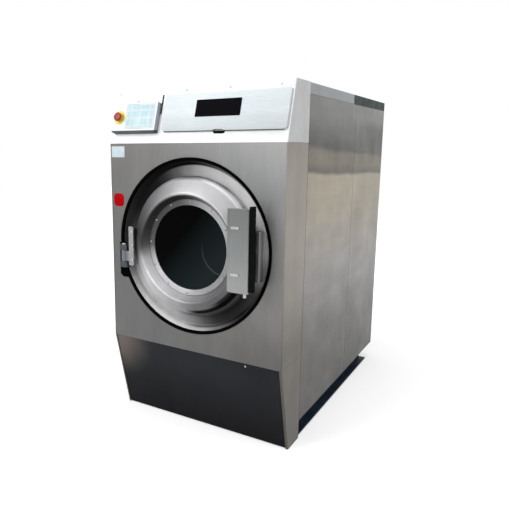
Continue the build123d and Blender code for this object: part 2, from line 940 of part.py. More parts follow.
def drum_pulley():
    wheel = turned(grooved(pulley_pitch_radius, shaft_radius + running_fit / 2))
    rim = pulley_pitch_radius - belt_depth - 16
    for low, high in ((pulley_front - 1, pulley_front + 24), (pulley_back - 24, pulley_back + 1)):
        wheel -= tube(rim, low, high, spider_hub_radius)
    for index in range(6):
        hole = on_drum(Rot(0, 30 + 60 * index, 0) * rod(
            ((rim + spider_hub_radius) / 2, pulley_front, 0),
            ((rim + spider_hub_radius) / 2, pulley_back, 0), 42,
        ))
        wheel -= hole
    return wheel


def motor_pulley():
    wheel = revolve(outline(grooved(motor_pitch_radius, motor_shaft_radius)), drum_axis)
    start = pulley_front - pulley_gap - 60
    wheel += front_to_back(Circle(motor_shaft_radius), start, pulley_back + 8)
    return Pos(motor_x, 0, motor_z) * wheel


def belt(middle):
    """One belt, as the gap between two hulls of a large and a small circle."""
    turn = math.asin((pulley_pitch_radius - motor_pitch_radius) / belt_span)
    lean = math.atan2(motor_z - drum_z, motor_x)

    def loop(offset):
        large, small = pulley_pitch_radius + offset, motor_pitch_radius + offset
        points = []
        for side in (1, -1):
            angle = lean + side * (math.pi / 2 - turn)
            point_large = (large * math.cos(angle), drum_z + large * math.sin(angle))
            point_small = (
                motor_x + small * math.cos(angle), motor_z + small * math.sin(angle)
            )
            points += [point_large, point_small] if side > 0 else [point_small, point_large]
        ends = Pos(0, drum_z) * Circle(large) + Pos(motor_x, motor_z) * Circle(small)
        return outline(points) + ends

    section = loop(belt_depth / 2) - loop(-belt_depth / 2)
    return front_to_back(section, middle - belt_width / 2, middle + belt_width / 2)


motor_front = pulley_front - pulley_gap - motor_length


def motor_body():
    end = motor_front + motor_length
    body = front_to_back(Circle(motor_radius), motor_front + 45, end - 30)
    body += front_to_back(Circle(motor_radius - 14), motor_front, end)
    for index in range(16):
        angle = 2 * math.pi * index / 16
        fin = Rot(0, math.degrees(angle), 0) * block(
            (motor_radius - 18, motor_radius - 2), (motor_front + 20, end - 10), (-3, 3)
        )
        body += fin
    bore = front_to_back(Circle(motor_shaft_radius + running_fit), end - 62, end + 1)
    body -= bore
    foot_z = (-motor_radius - motor_foot, -motor_radius + 20)
    for low, high in ((motor_front + 55, motor_front + 85), (end - 70, end - 40)):
        body += block((-85, 85), (low, high), foot_z)
    terminal_box = (motor_front + 80, motor_front + 180)
    body += block((-45, 45), terminal_box, (motor_radius - 8, motor_radius + 42))
    return Pos(motor_x, 0, motor_z) * body


nodes["drum_pulley"] = drum_pulley()
nodes["motor_pulley"] = motor_pulley()
nodes["drive_belts"] = [belt(middle) for middle in belt_centres]
nodes["motor_body"] = motor_body()
nodes["motor_bracket"] = block(
    (-frame_half, frame_half), (motor_front + 40, motor_front + motor_length - 20),
    (rail_height, rail_height + motor_plate),
)


# Door: a heavy cast ring that holds a round glass under a bolted retaining ring
rim_back = recess_depth - rim_back_gap
rim_edge = rim_radius - rim_chamfer
crest_radius = rim_radius - crest_inset
retainer_radius = crest_radius - retainer_inset
glass_radius = retainer_radius - retainer_lap
glass_sight_radius = glass_radius - glass_lap
seat_back = recess_depth - gasket_depth - gasket_gap
seat_radius = mouth_radius + gasket_width + 6
glass_front = -glass_proud
glass_rear = glass_front + glass_thickness
retainer_front = glass_front - retainer_thickness
dish_radius = retainer_radius + 1.5
cone_slope = crest_front / (rim_edge - crest_radius)
cone_wall = door_wall * math.hypot(1, cone_slope)


def cone_depth(radius):
    """Depth of the ring's conical face at a radius."""
    return (radius - rim_edge) * cone_slope


handle_mid_z = drum_z + handle_rise
handle_left = rim_radius - handle_rim_lap
handle_pin_x = handle_left + handle_pin_inset
handle_pin_y = -handle_out + handle_pin_back
lug_z = [handle_mid_z - handle_pin_spacing / 2, handle_mid_z + handle_pin_spacing / 2]
tongue_x = (rim_radius + tongue_rim_gap, rim_radius + tongue_rim_gap + tongue_thickness)
tongue_mid_z = handle_mid_z - 8
tongue_z = (tongue_mid_z - tongue_height / 2, tongue_mid_z + tongue_height / 2)
tongue_boss_x = (crest_radius + 16, crest_radius + 16 + tongue_boss_width)
strap_x = (-rim_radius - strap_leg, -rim_radius - strap_leg + strap_width)
strap_z = (drum_z - strap_drop - strap_height / 2, drum_z - strap_drop + strap_height / 2)
boss_front = strap_front + strap_thickness


def door_ring():
    ring = turned(
        [
            (rim_radius, rim_back), (rim_radius, rim_shoulder),
            (rim_edge, 0), (crest_radius, -crest_front),
            (dish_radius, retainer_front), (dish_radius, glass_front),
            (glass_radius + 1, glass_front), (glass_radius + 1, glass_rear),
            (glass_sight_radius + 2, glass_rear), (glass_sight_radius + 2, glass_rear + glass_seat),
            (mouth_radius - 3, glass_rear + glass_seat), (mouth_radius - 3, seat_back),
            (seat_radius, seat_back), (seat_radius, cone_depth(seat_radius) + cone_wall),
            (rim_edge - door_wall, cone_depth(rim_edge - door_wall) + cone_wall),
            (rim_radius - door_wall, rim_shoulder + 4), (rim_radius - door_wall, rim_back),
        ],
        [2, 5, 5, 9, 2, 0, 0, 0, 2, 2, 0, 0, 3, 6, 3, 3, 1],
    )
    boss = block((strap_x[0] + 16, strap_x[1] - 2), (boss_front, rim_shoulder), grown(strap_z, -12))
    ring += boss & tube(rim_radius - 2, boss_front, rim_shoulder)
    for z in lug_z:
        lug_x = (handle_pin_x - 10, handle_pin_x + 14)
        ring += block(lug_x, (handle_pin_y - 11, 0), (z - handle_lug / 2, z + handle_lug / 2))
    ring += block(tongue_boss_x, (-tongue_boss_front, -6), grown(tongue_z, 3))
    pin = rod(
        (handle_pin_x, handle_pin_y, drum_z - rim_radius),
        (handle_pin_x, handle_pin_y, drum_z + rim_radius),
        handle_pin_radius + running_fit,
    )
    return ring - pin


def ring_bolts(radius, front, count, first):
    """A circle of round bolt heads in front of a ring, and their first angle."""
    face = Pos(radius, 0, 0) * front_to_back(
        Circle(retainer_bolt_radius), front - bolt_head_height, front
    )
    head = on_drum(face)
    return [around_drum(head, first + 360 / count * index) for index in range(count)]


def door_bolts():
    bolts = ring_bolts(retainer_radius - 10, retainer_front, retainer_bolts, 27)
    x = strap_x[1] - strap_bolt_edge
    for z in (*grown(strap_z, -strap_bolt_inset), (strap_z[0] + strap_z[1]) / 2):
        head = ((x, strap_front - bolt_head_height, z), (x, strap_front, z))
        bolts.append(rod(*head, bolt_head_radius))
    x = (tongue_boss_x[0] + tongue_boss_x[1]) / 2
    for z in grown(tongue_z, -7):
        head = ((x, tongue_front - bolt_head_height, z), (x, tongue_front, z))
        bolts.append(rod(*head, retainer_bolt_radius))
    return bolts


tongue_front = -tongue_boss_front - tongue_thickness
nodes["door_ring"] = door_ring()
nodes["door_glass"] = turned([
    (0, glass_front), (glass_radius, glass_front), (glass_radius, glass_rear), (0, glass_rear),
])
nodes["glass_retainer"] = turned(
    [
        (glass_sight_radius, glass_front), (glass_sight_radius, retainer_front),
        (retainer_radius, retainer_front), (retainer_radius, glass_front),
    ],
    [1, 3, 2, 0],
)
nodes["door_bolts"] = door_bolts()


# Door hinge: a fork on the tub front, its pin, and the strap that the door hangs from
hinge_x, hinge_z = hinge_side()
pin_x = (hinge_x[0] + hinge_x[1]) / 2
knuckle_z = (hinge_z[0] + ear_thickness + knuckle_gap, hinge_z[1] - ear_thickness - knuckle_gap)
arm_z = grown(knuckle_z, -knuckle_gap)
leg_x = (strap_x[0], strap_x[0] + strap_leg)


def on_pin(low, high, radius):
    """A round bar on the hinge pin's axis between two heights."""
    return rod((pin_x, -hinge_pin_front, low), (pin_x, -hinge_pin_front, high), radius)


def hinge_pin_bore():
    return on_pin(hinge_z[0] - 1, hinge_z[1] + 1, hinge_pin_radius + running_fit)


def hinge_block():
    plan = outline(corners(hinge_x, (-hinge_front, recess_depth)), [8, 8, 0, 0])
    fork = upwards(plan, *hinge_z)
    gap = (-hinge_front - 1, -hinge_pin_front + knuckle_radius + 4)
    fork -= block(grown(hinge_x, 1), gap, grown(knuckle_z, knuckle_gap))
    return fork - hinge_pin_bore()


def hinge_strap():
    knuckle = on_pin(*knuckle_z, knuckle_radius)
    arm_y = (-hinge_pin_front - 8, -hinge_pin_front + 8)
    strap = knuckle + block((pin_x, leg_x[1]), arm_y, arm_z)
    strap += block(leg_x, (strap_front, arm_y[1]), arm_z)
    plate = outline(corners(strap_x, strap_z), [6, 10, 10, 6])
    strap += front_to_back(plate, strap_front, strap_front + strap_thickness)
    return strap - hinge_pin_bore()


nodes["hinge_block"] = hinge_block()
nodes["hinge_strap"] = hinge_strap()
nodes["hinge_pin"] = (
    on_pin(hinge_z[0], hinge_z[1] + 2, hinge_pin_radius)
    + on_pin(hinge_z[1], hinge_z[1] + pin_head, hinge_pin_radius + 4)
)


# Door handle: a pressed plate with a bevelled side and a black grip along its free edge
handle_x = (handle_left, handle_left + handle_width)
handle_z = (handle_mid_z - handle_height / 2, handle_mid_z + handle_height / 2)
side_back = -handle_out + handle_side


def handle_plan(inset, back):
    """The plate's plan: a bevel at the left, the face, and a side at the right."""
    left, right, front = handle_x[0] + inset, handle_x[1] - inset, -handle_out + inset
    return [
        (left, back), (left, front + handle_bevel_depth), (left + handle_bevel, front),
        (right, front), (right, back),
    ]


def handle_plate():
    plate = upwards(outline(handle_plan(0, side_back), [0, 3, 6, 4, 0]), *handle_z)
    hollow = outline(handle_plan(handle_sheet, side_back + 1), [0, 1, 3, 1, 0])
    plate -= upwards(hollow, *grown(handle_z, -handle_sheet))
    left_wall = (handle_x[0] - 1, handle_x[0] + handle_sheet + 1)
    plate -= block(left_wall, (-handle_out + handle_bevel_depth + 8, side_back + 1), handle_z)
    for z in lug_z:
        for low in (z - handle_lug / 2 - 6, z + handle_lug / 2 + 2):
            plate += block(
                (handle_x[0] + handle_sheet + 4, handle_pin_x + 22),
                (-handle_out + handle_sheet - 1, handle_pin_y + 11), (low, low + 4),
            ) & upwards(outline(handle_plan(1, side_back)), *handle_z)
    pin = rod(
        (handle_pin_x, handle_pin_y, handle_z[0] + 10),
        (handle_pin_x, handle_pin_y, handle_z[1] - 10),
        handle_pin_radius + running_fit,
    )
    return plate - pin


def handle_bolts():
    bolts = []
    x = handle_x[1] - handle_pad_inset
    for z in lug_z:
        pad = Pos(x, z) * SlotOverall(handle_pad, 1.5 * bolt_head_radius)
        bolts.append(front_to_back(pad, -handle_out - bolt_head_height, -handle_out))
    foot = (handle_x[1] - 24, -handle_out + 22)
    bolts.append(rod((*foot, handle_z[0] - 22), (*foot, handle_z[0]), handle_foot_radius))
    return bolts


grip_x = (handle_x[1], handle_x[1] + grip_width)
grip_y = (-handle_out + 8, -handle_out + 8 + grip_depth)
grip_z = (handle_z[0] + 8, handle_z[1] + 14)


def handle_grip():
    plan = outline(corners(grip_x, grip_y), [2, 8, 8, 2])
    bar = upwards(plan, *grip_z)
    top = bar.faces().sort_by(Axis.Z)[-1]
    return fillet(top.edges(), 1.5)


nodes["handle_plate"] = handle_plate()
nodes["handle_bolts"] = handle_bolts()
nodes["handle_grip"] = handle_grip()
nodes["handle_pin"] = rod(
    (handle_pin_x, handle_pin_y, lug_z[0] - handle_lug / 2 - 12),
    (handle_pin_x, handle_pin_y, lug_z[1] + handle_lug / 2 + 12), handle_pin_radius,
)


# Door lock: a tongue on the door enters a housing, open on that side, where a bolt crosses it
tongue_tip = recess_depth - 26
bolt_start = tongue_x[1] + lock_clearance + 0.5
bolt_end = bolt_start + bolt_slide + 4
lock_x = (rim_radius + lock_rim_gap, bolt_end + 3)
lock_z = (tongue_mid_z - lock_drop, tongue_mid_z + lock_rise)


def latch_tongue():
    plate_y = (tongue_front, tongue_front + tongue_thickness)
    arm = block((tongue_boss_x[0], tongue_x[1]), plate_y, tongue_z)
    arm += block(tongue_x, (tongue_front, tongue_tip), tongue_z)
    return arm - rod(
        (tongue_x[0] - 1, bolt_y, tongue_mid_z), (tongue_x[1] + 1, bolt_y, tongue_mid_z),
        bolt_radius + 1.5,
    )


def lock_housing():
    case = block(lock_x, (lock_front, recess_depth), lock_z)
    case = fillet(case.edges().group_by(Axis.Y)[0], 3)
    slot_x = (lock_x[0] - 1, tongue_x[1] + lock_clearance)
    slot_y = (lock_front - 1, tongue_tip + lock_clearance)
    case -= block(slot_x, slot_y, grown(tongue_z, lock_clearance))
    return case - rod(
        (slot_x[1] - 1, bolt_y, tongue_mid_z), (bolt_end + 1, bolt_y, tongue_mid_z),
        bolt_radius + running_fit,
    )


nodes["latch_tongue"] = latch_tongue()
nodes["lock_housing"] = lock_housing()
nodes["lock_bolt"] = rod(
    (bolt_start, bolt_y, tongue_mid_z), (bolt_end, bolt_y, tongue_mid_z), bolt_radius
)


# Drain: a motorised ball valve under the tub and the pipe out to the rear
def drain_valve():
    body = block(
        (-valve_half, valve_half), (drain_y - valve_half, drain_y + valve_half),
        (ball_z - valve_half, ball_z + valve_half),
    )
    neck_top = drum_z - tub_radius + 40
    body += rod((0, drain_y, ball_z), (0, drain_y, neck_top), ball_bore + 12)
    actuator_x = (valve_half - 1, valve_half + actuator_reach)
    body += block(actuator_x, (drain_y - 40, drain_y + 40), (ball_z - 35, ball_z + 35))
    body -= tube(tub_radius + fit_gap, drain_y - 200, drain_y + 200)
    body -= rod((0, drain_y, ball_z - valve_half - 1), (0, drain_y, drum_z), ball_bore)
    body -= Pos(0, drain_y, ball_z) * Sphere(ball_radius + fit_gap)
    return body - rod(
        (0, drain_y, ball_z), (valve_half + 30, drain_y, ball_z), stem_radius + 2 + running_fit
    )


def drain_ball():
    ball = Pos(0, drain_y, ball_z) * Sphere(ball_radius)
    ball += rod((0, drain_y, ball_z), (valve_half + 29, drain_y, ball_z), stem_radius + 2)
    return ball - rod(
        (0, drain_y, ball_z - 2 * ball_radius), (0, drain_y, ball_z + 2 * ball_radius), ball_bore
    )


def drain_pipe():
    """A drop from the valve, an elbow and a long run to the rear, with a collar behind the panel."""
    bore = drain_pipe_radius - drain_wall
    ring = Circle(drain_pipe_radius) - Circle(bore)
    turn_y, turn_z = drain_y + elbow_radius, pipe_z + elbow_radius
    drop = upwards(Pos(0, drain_y) * ring, turn_z, ball_z - valve_half)
    section = Plane(origin=(0, drain_y, turn_z), z_dir=(0, 0, -1)) * ring
    centre_line = Axis((0, turn_y, turn_z), (1, 0, 0))
    elbow = revolve(section, centre_line, 90)
    end = cabinet_depth + rear_reach
    run = front_to_back(Pos(0, pipe_z) * ring, turn_y, end)
    collar = Circle(pipe_collar_radius) - Circle(bore)
    collar_y = (cabinet_depth, cabinet_depth + pipe_collar)
    return drop + elbow + run + front_to_back(Pos(0, pipe_z) * collar, *collar_y)


nodes["drain_valve"] = drain_valve()
nodes["drain_ball"] = drain_ball()
nodes["drain_pipe"] = drain_pipe()


# Rear panel with its louvres, the water valves, the cable gland and the inverter
rear_face = cabinet_depth - sheet
inlet_z = cabinet_height - inlet_below_top
gland_z = cabinet_height - gland_below_top
rear_half = inner_half - fit_gap
rear_low = side_bottom + fit_gap
rear_high = cabinet_height - sheet - fit_gap


def inlet_centres():
    return [(x, inlet_z) for x in (-inlet_spacing / 2, inlet_spacing / 2)]


def rear_panel():
    face = outline(
        corners((-rear_half, rear_half), (rear_low, rear_high)),
        [0, 0, bend_radius, bend_radius],
    )
    panel = front_to_back(face, rear_face, cabinet_depth)
    for x in ((-rear_half, -rear_half + sheet), (rear_half - sheet, rear_half)):
        fold = (rear_low, rear_high - 2 * bend_radius)
        panel += block(x, (rear_face - return_width, rear_face + 1), fold)
    for x, z in inlet_centres():
        panel -= rod((x, rear_face - 1, z), (x, cabinet_depth + 1, z), inlet_radius + fit_gap)
    panel -= rod(
        (gland_x, rear_face - 1, gland_z), (gland_x, cabinet_depth + 1, gland_z), 16 + fit_gap
    )
    panel -= rod(
        (0, rear_face - 1, pipe_z), (0, cabinet_depth + 1, pipe_z), drain_pipe_radius + fit_gap
    )
    for row in range(10):
        z = drum_z - 260 + 34 * row
        for x in (-0.5 * half_width, 0.5 * half_width):
            slot = Pos(x, z) * SlotOverall(220, 8)
            panel -= front_to_back(slot, rear_face - 1, cabinet_depth + 1)
    return panel


def water_valves():
    valves = []
    for x, z in inlet_centres():
        end = cabinet_depth + inlet_reach
        valve = block((x - 28, x + 28), (rear_face - 60, rear_face), (z - 30, z + 30))
        valve += rod((x, rear_face - 30, z + 25), (x, rear_face - 30, z + 62), 18)
        valve += rod((x, rear_face - 1, z), (x, end, z), inlet_radius)
        nut = Pos(x, z) * RegularPolygon(inlet_nut_radius, 6)
        valve += front_to_back(nut, cabinet_depth, cabinet_depth + inlet_nut)
        valve -= rod((x, rear_face - 20, z), (x, end + 1, z), inlet_bore)
        valves.append(valve)
    return valves


def power_gland():
    nut = Pos(gland_x, gland_z) * RegularPolygon(24, 6)
    gland = front_to_back(nut, cabinet_depth, cabinet_depth + 9)
    gland += front_to_back(Pos(gland_x, gland_z) * Circle(16), rear_face - 14, cabinet_depth + 26)
    gland += front_to_back(nut, rear_face - 10, rear_face)
    return gland - front_to_back(
        Pos(gland_x, gland_z) * Circle(gland_bore), rear_face - 15, cabinet_depth + 27
    )


def inverter_box():
    x = (-inner_half, -pulley_pitch_radius - belt_depth / 2 - inverter_gap)
    y = (cabinet_depth - 480, cabinet_depth - 200)
    z = (drum_z + 40, drum_z + 400)
    box = block(x, y, z)
    for index in range(9):
        low = y[0] + 20 + 27 * index
        box += block((x[1] - 1, x[1] + 24), (low, low + 5), grown(z, -30))
    return box


nodes["rear_panel"] = rear_panel()
nodes["water_valves"] = water_valves()
nodes["power_gland"] = power_gland()
nodes["inverter_box"] = inverter_box()


# Screws of the fascia, the toe panel, the top cover and the rear panel
def panel_screws():
    head_radius, head = 5.0, 2.0
    screws = []
    fascia_top = (cabinet_height - seam_z) / math.cos(tilt)
    for x in (-half_width + 22, lid_left + 110, (lid_left + lid_right) / 2 + 20, lid_right - 55):
        screws.append(fascia_pin(x, fascia_top - 22, 0, head, head_radius))
    toe_x = half_width - 190
    toe_z = fold_z - 18
    start = (toe_x, toe_depth(toe_z, toe_inset), toe_z)
    out = Vector(0, -fold_z, -toe_setback).normalized() * head
    screws.append(rod(start, tuple(Vector(*start) + out), head_radius))
    for x in (-rear_half + 12, rear_half - 12):
        for row in range(5):
            z = rear_low + 25 + (rear_high - rear_low - 50) * row / 4
            screws.append(rod((x, cabinet_depth, z), (x, cabinet_depth + head, z), head_radius))
    return screws


nodes["panel_screws"] = panel_screws()

os.makedirs("parts", exist_ok=True)
for name, shape in nodes.items():
    pieces = shape if isinstance(shape, list) else [shape]
    solids = [Pos(0, shift_y, 0) * solid for piece in pieces for solid in piece.solids()]
    export_step(Compound(children=solids), f"parts/{name}.step")
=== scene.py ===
import math

import bpy
import numpy as np
from mathutils import Matrix, Vector


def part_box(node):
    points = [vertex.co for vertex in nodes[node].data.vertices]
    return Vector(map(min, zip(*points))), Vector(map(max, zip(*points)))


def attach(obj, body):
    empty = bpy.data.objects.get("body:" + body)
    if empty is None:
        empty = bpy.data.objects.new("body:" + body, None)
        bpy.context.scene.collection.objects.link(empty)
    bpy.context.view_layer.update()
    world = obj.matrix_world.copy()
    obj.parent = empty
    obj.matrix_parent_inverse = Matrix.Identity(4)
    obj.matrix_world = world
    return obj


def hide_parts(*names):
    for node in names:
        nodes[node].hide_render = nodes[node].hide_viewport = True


# A front-loading washer-extractor. Metres throughout: X to the right of a person who faces the
# machine, Y from its front to its rear, Z up from the floor.
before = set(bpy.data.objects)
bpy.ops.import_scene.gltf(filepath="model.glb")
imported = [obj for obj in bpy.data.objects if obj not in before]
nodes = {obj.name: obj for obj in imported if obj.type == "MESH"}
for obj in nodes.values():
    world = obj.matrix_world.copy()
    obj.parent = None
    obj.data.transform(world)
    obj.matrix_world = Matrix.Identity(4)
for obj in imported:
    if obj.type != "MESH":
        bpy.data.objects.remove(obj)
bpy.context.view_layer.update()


# Camera, floor, backdrop and lamps.
# The camera stands to the right of the machine's front at chest height. The key lamp is high on
# the left and in front, a weaker one stands at the right, and the floor runs out into white.
camera_place = Vector((1.4304, -2.9707, 1.4547))
camera_turn, camera_dip, camera_roll = 0.5657, 0.1776, -0.0001
focal_px, centre_px = 541.5, (195.95, 246.9)
picture_px = 510.0
forward = Vector((
    -math.sin(camera_turn) * math.cos(camera_dip),
    math.cos(camera_turn) * math.cos(camera_dip),
    -math.sin(camera_dip),
))
level_right = Vector((math.cos(camera_turn), math.sin(camera_turn), 0))
level_up = level_right.cross(forward)
right = level_right * math.cos(camera_roll) + level_up * math.sin(camera_roll)
up = level_up * math.cos(camera_roll) - level_right * math.sin(camera_roll)
lens = bpy.data.cameras.new("camera")
lens.lens = focal_px / picture_px * lens.sensor_width
lens.shift_x = (picture_px / 2 - centre_px[0]) / picture_px
lens.shift_y = (centre_px[1] - picture_px / 2) / picture_px
camera = bpy.data.objects.new("camera", lens)
camera.matrix_world = Matrix((
    (right.x, up.x, -forward.x, camera_place.x),
    (right.y, up.y, -forward.y, camera_place.y),
    (right.z, up.z, -forward.z, camera_place.z),
    (0, 0, 0, 1),
))
bpy.context.scene.collection.objects.link(camera)
bpy.context.scene.camera = camera
bpy.context.scene.view_settings.view_transform = "Standard"


def node(tree, kind, values=None, **settings):
    """A shader node with its settings, and its inputs set from numbers or linked from sockets."""
    made = tree.nodes.new("ShaderNode" + kind)
    for key, value in settings.items():
        setattr(made, key, value)
    for key, value in (values or {}).items():
        socket = made.inputs[key]
        if isinstance(value, bpy.types.NodeSocket):
            tree.links.new(value, socket)
        else:
            socket.default_value = value
    return made


def maths(tree, operation, *values):
    """One number worked out from one, two or three others."""
    return node(tree, "Math", dict(enumerate(values)), operation=operation).outputs[0]


def vector_maths(tree, operation, first, *others, result="Value"):
    """A vector or a number worked out from one or two vectors."""
    return node(tree, "VectorMath", dict(enumerate((first, *others))), operation=operation).outputs[result]


def seen_directly(tree):
    """1 for rays from the camera, off gloss or through glass, and 0 for the rest."""
    path = node(tree, "LightPath").outputs
    share = maths(tree, "MAXIMUM", path["Is Camera Ray"], path["Is Glossy Ray"])
    return maths(tree, "MAXIMUM", share, path["Is Transmission Ray"])


world = bpy.data.worlds.new("studio")
world.use_nodes = True
sky = world.node_tree
level = node(sky, "MapRange", {"Value": seen_directly(sky), "To Min": 0.28, "To Max": 1.0})
sky.nodes["Background"].inputs["Color"].default_value = (1, 1, 1, 1)
sky.links.new(level.outputs["Result"], sky.nodes["Background"].inputs["Strength"])
bpy.context.scene.world = world

floor_paint = bpy.data.materials.new("pale_floor")
floor_paint.use_nodes = True
tree = floor_paint.node_tree
tree.nodes.clear()
away = vector_maths(tree, "LENGTH", node(tree, "TexCoord").outputs["Object"])
lift = node(tree, "MapRange", {"Value": away, "From Min": 1.2, "From Max": 3.2, "To Min": 0.5, "To Max": 1.0})
glow = maths(tree, "MULTIPLY", seen_directly(tree), lift.outputs["Result"])
matt = node(tree, "BsdfDiffuse", {"Color": (0.8, 0.8, 0.8, 1)})
both = node(tree, "AddShader", {0: matt.outputs[0], 1: node(tree, "Emission", {"Strength": glow}).outputs[0]})
node(tree, "OutputMaterial", {"Surface": both.outputs[0]})
floor_reach, floor_drop = 14.0, -0.0005
floor_mesh = bpy.data.meshes.new("floor")
floor_mesh.from_pydata(
    [(x * floor_reach, y * floor_reach, floor_drop) for x, y in ((-1, -1), (1, -1), (1, 1), (-1, 1))],
    [], [(0, 1, 2, 3)],
)
floor_mesh.materials.append(floor_paint)
floor = bpy.data.objects.new("floor", floor_mesh)
bpy.context.scene.collection.objects.link(floor)


def soft_lamp(name, place, aim, size, power):
    """A square area lamp that stands at a place and looks at a point."""
    lamp = bpy.data.lights.new(name, "AREA")
    lamp.size = size
    lamp.energy = power
    holder = bpy.data.objects.new(name, lamp)
    holder.location = place
    holder.rotation_euler = (Vector(aim) - Vector(place)).to_track_quat("-Z", "Y").to_euler()
    bpy.context.scene.collection.objects.link(holder)


soft_lamp("lamp_key", place=(-1.5, -3.4, 2.9), aim=(0, -0.7, 1.0), size=2.1, power=95)
soft_lamp("lamp_right", place=(4.4, -1.2, 2.7), aim=(0.5, 0, 0.9), size=2.4, power=85)
soft_lamp("lamp_above", place=(0.2, 0.4, 5.0), aim=(0, 0, 1.0), size=2.6, power=70)


# Base: two steel channel rails and the box beam that ties them, welded together and finished in
# dark blue enamel. They gather dust near the floor, where bolts hold them down.
def object_point(tree, scale=(1, 1, 1), shift=(0, 0, 0)):
    """The surface's own place in metres, moved by shift and then scaled axis by axis."""
    place = node(tree, "TexCoord").outputs["Object"]
    moved = vector_maths(tree, "ADD", place, shift, result="Vector")
    return vector_maths(tree, "MULTIPLY", moved, scale, result="Vector")


def noise(tree, point, scale, detail=3.0, rough=0.5):
    """Soft noise from 0 to 1 at so many features to the metre."""
    values = {"Vector": point, "Scale": scale, "Detail": detail, "Roughness": rough}
    return node(tree, "TexNoise", values).outputs["Fac"]


def spread(tree, value, low, high, from_low=0.3, from_high=0.7):
    """A value carried from one range to another, and held at both ends."""
    values = {"Value": value, "From Min": from_low, "From Max": from_high, "To Min": low, "To Max": high}
    return node(tree, "MapRange", values).outputs["Result"]


def blend_colours(tree, share, first, second, mode="MIX"):
    """Two colours mixed by a share."""
    made = node(tree, "Mix", data_type="RGBA", blend_type=mode)
    for index, value in ((0, share), (6, first), (7, second)):
        if isinstance(value, bpy.types.NodeSocket):
            tree.links.new(value, made.inputs[index])
        else:
            made.inputs[index].default_value = value
    return made.outputs[2]


def darkened(tree, colour, factor):
    """A colour multiplied by a grey factor."""
    grey = node(tree, "CombineColor", {0: factor, 1: factor, 2: factor}).outputs[0]
    return blend_colours(tree, 1.0, colour, grey, "MULTIPLY")


def along(tree, axis, point):
    """One of a point's coordinates, X, Y or Z, in metres."""
    return node(tree, "SeparateXYZ", {0: point}).outputs[axis]


def shade(colour, factor):
    """A colour made darker or lighter, with full cover."""
    return tuple(min(1.0, channel * factor) for channel in colour[:3]) + (1,)


def new_material(name, gloss=0.5):
    """An empty material with its shader, and the tree that holds them."""
    made = bpy.data.materials.new(name)
    made.use_nodes = True
    shader = made.node_tree.nodes["Principled BSDF"]
    shader.inputs["Specular IOR Level"].default_value = gloss
    return made, made.node_tree, shader


def bumped(tree, shader, height, distance, strength):
    """Feeds a height to the shader's normal as a bump of so many metres, at a share of its strength."""
    bump = node(tree, "Bump", {"Height": height, "Distance": distance, "Strength": strength})
    tree.links.new(bump.outputs[0], shader.inputs["Normal"])


def enamel(name, colour, rough, dust=None, gloss=0.3):
    """Sprayed paint with slow patches of tone, orange peel, and smears in its shine.

    Dust is a colour, and the height that it reaches above the floor."""
    made, tree, shader = new_material(name, gloss)
    point = object_point(tree)
    tone = spread(tree, noise(tree, point, 2.5), 0, 1)
    painted = blend_colours(tree, tone, shade(colour, 0.8), shade(colour, 1.22))
    if dust:
        dust_colour, dust_top = dust
        low = spread(tree, along(tree, "Z", point), 0.5, 0.0, 0.0, dust_top)
        cloud = spread(tree, noise(tree, point, 9.0, 6.0), 0, 1, 0.4, 0.8)
        painted = blend_colours(tree, maths(tree, "MULTIPLY", low, cloud), painted, dust_colour)
    tree.links.new(painted, shader.inputs["Base Color"])
    smear = noise(tree, point, 15.0, 5.0)
    tree.links.new(spread(tree, smear, rough - 0.08, rough + 0.12), shader.inputs["Roughness"])
    orange_peel = noise(tree, point, 180.0, 2.0)
    bumped(tree, shader, orange_peel, 0.0006, 0.5)
    return made


def wear(names, material):
    """Gives CAD nodes a finish."""
    for name in names:
        mesh = nodes[name].data
        mesh.materials.clear()
        mesh.materials.append(material)


floor_dust = (0.07, 0.08, 0.10, 1)
rail_blue = enamel(
    "dark_blue_enamel", (0.010, 0.020, 0.034), rough=0.45, dust=(floor_dust, 0.05), gloss=0.12,
)
wear(["base_rail_left", "base_rail_right", "base_front_beam"], rail_blue)


# Cradle, bearing frame and motor bracket: cut steel plates in blue enamel. They are welded to
# the base and carry the tub, the basket's bearings and the motor, inside the casing.
frame_blue = enamel("frame_enamel", (0.028, 0.042, 0.08), rough=0.45)
wear(["tub_cradle", "bearing_frame", "motor_bracket"], frame_blue)


# Tub: stainless sheet, rolled round the drum and welded to a dished front and a flat back.
# The sheet is ground, so fine lines run along it, with darker patches where it was handled.
def faded(tree, colour, point, way, low, high, first, last):
    """A colour darkened along a direction: two places on it, and the factor at each."""
    reach = vector_maths(tree, "DOT_PRODUCT", point, way)
    return darkened(tree, colour, spread(tree, reach, first, last, low, high))


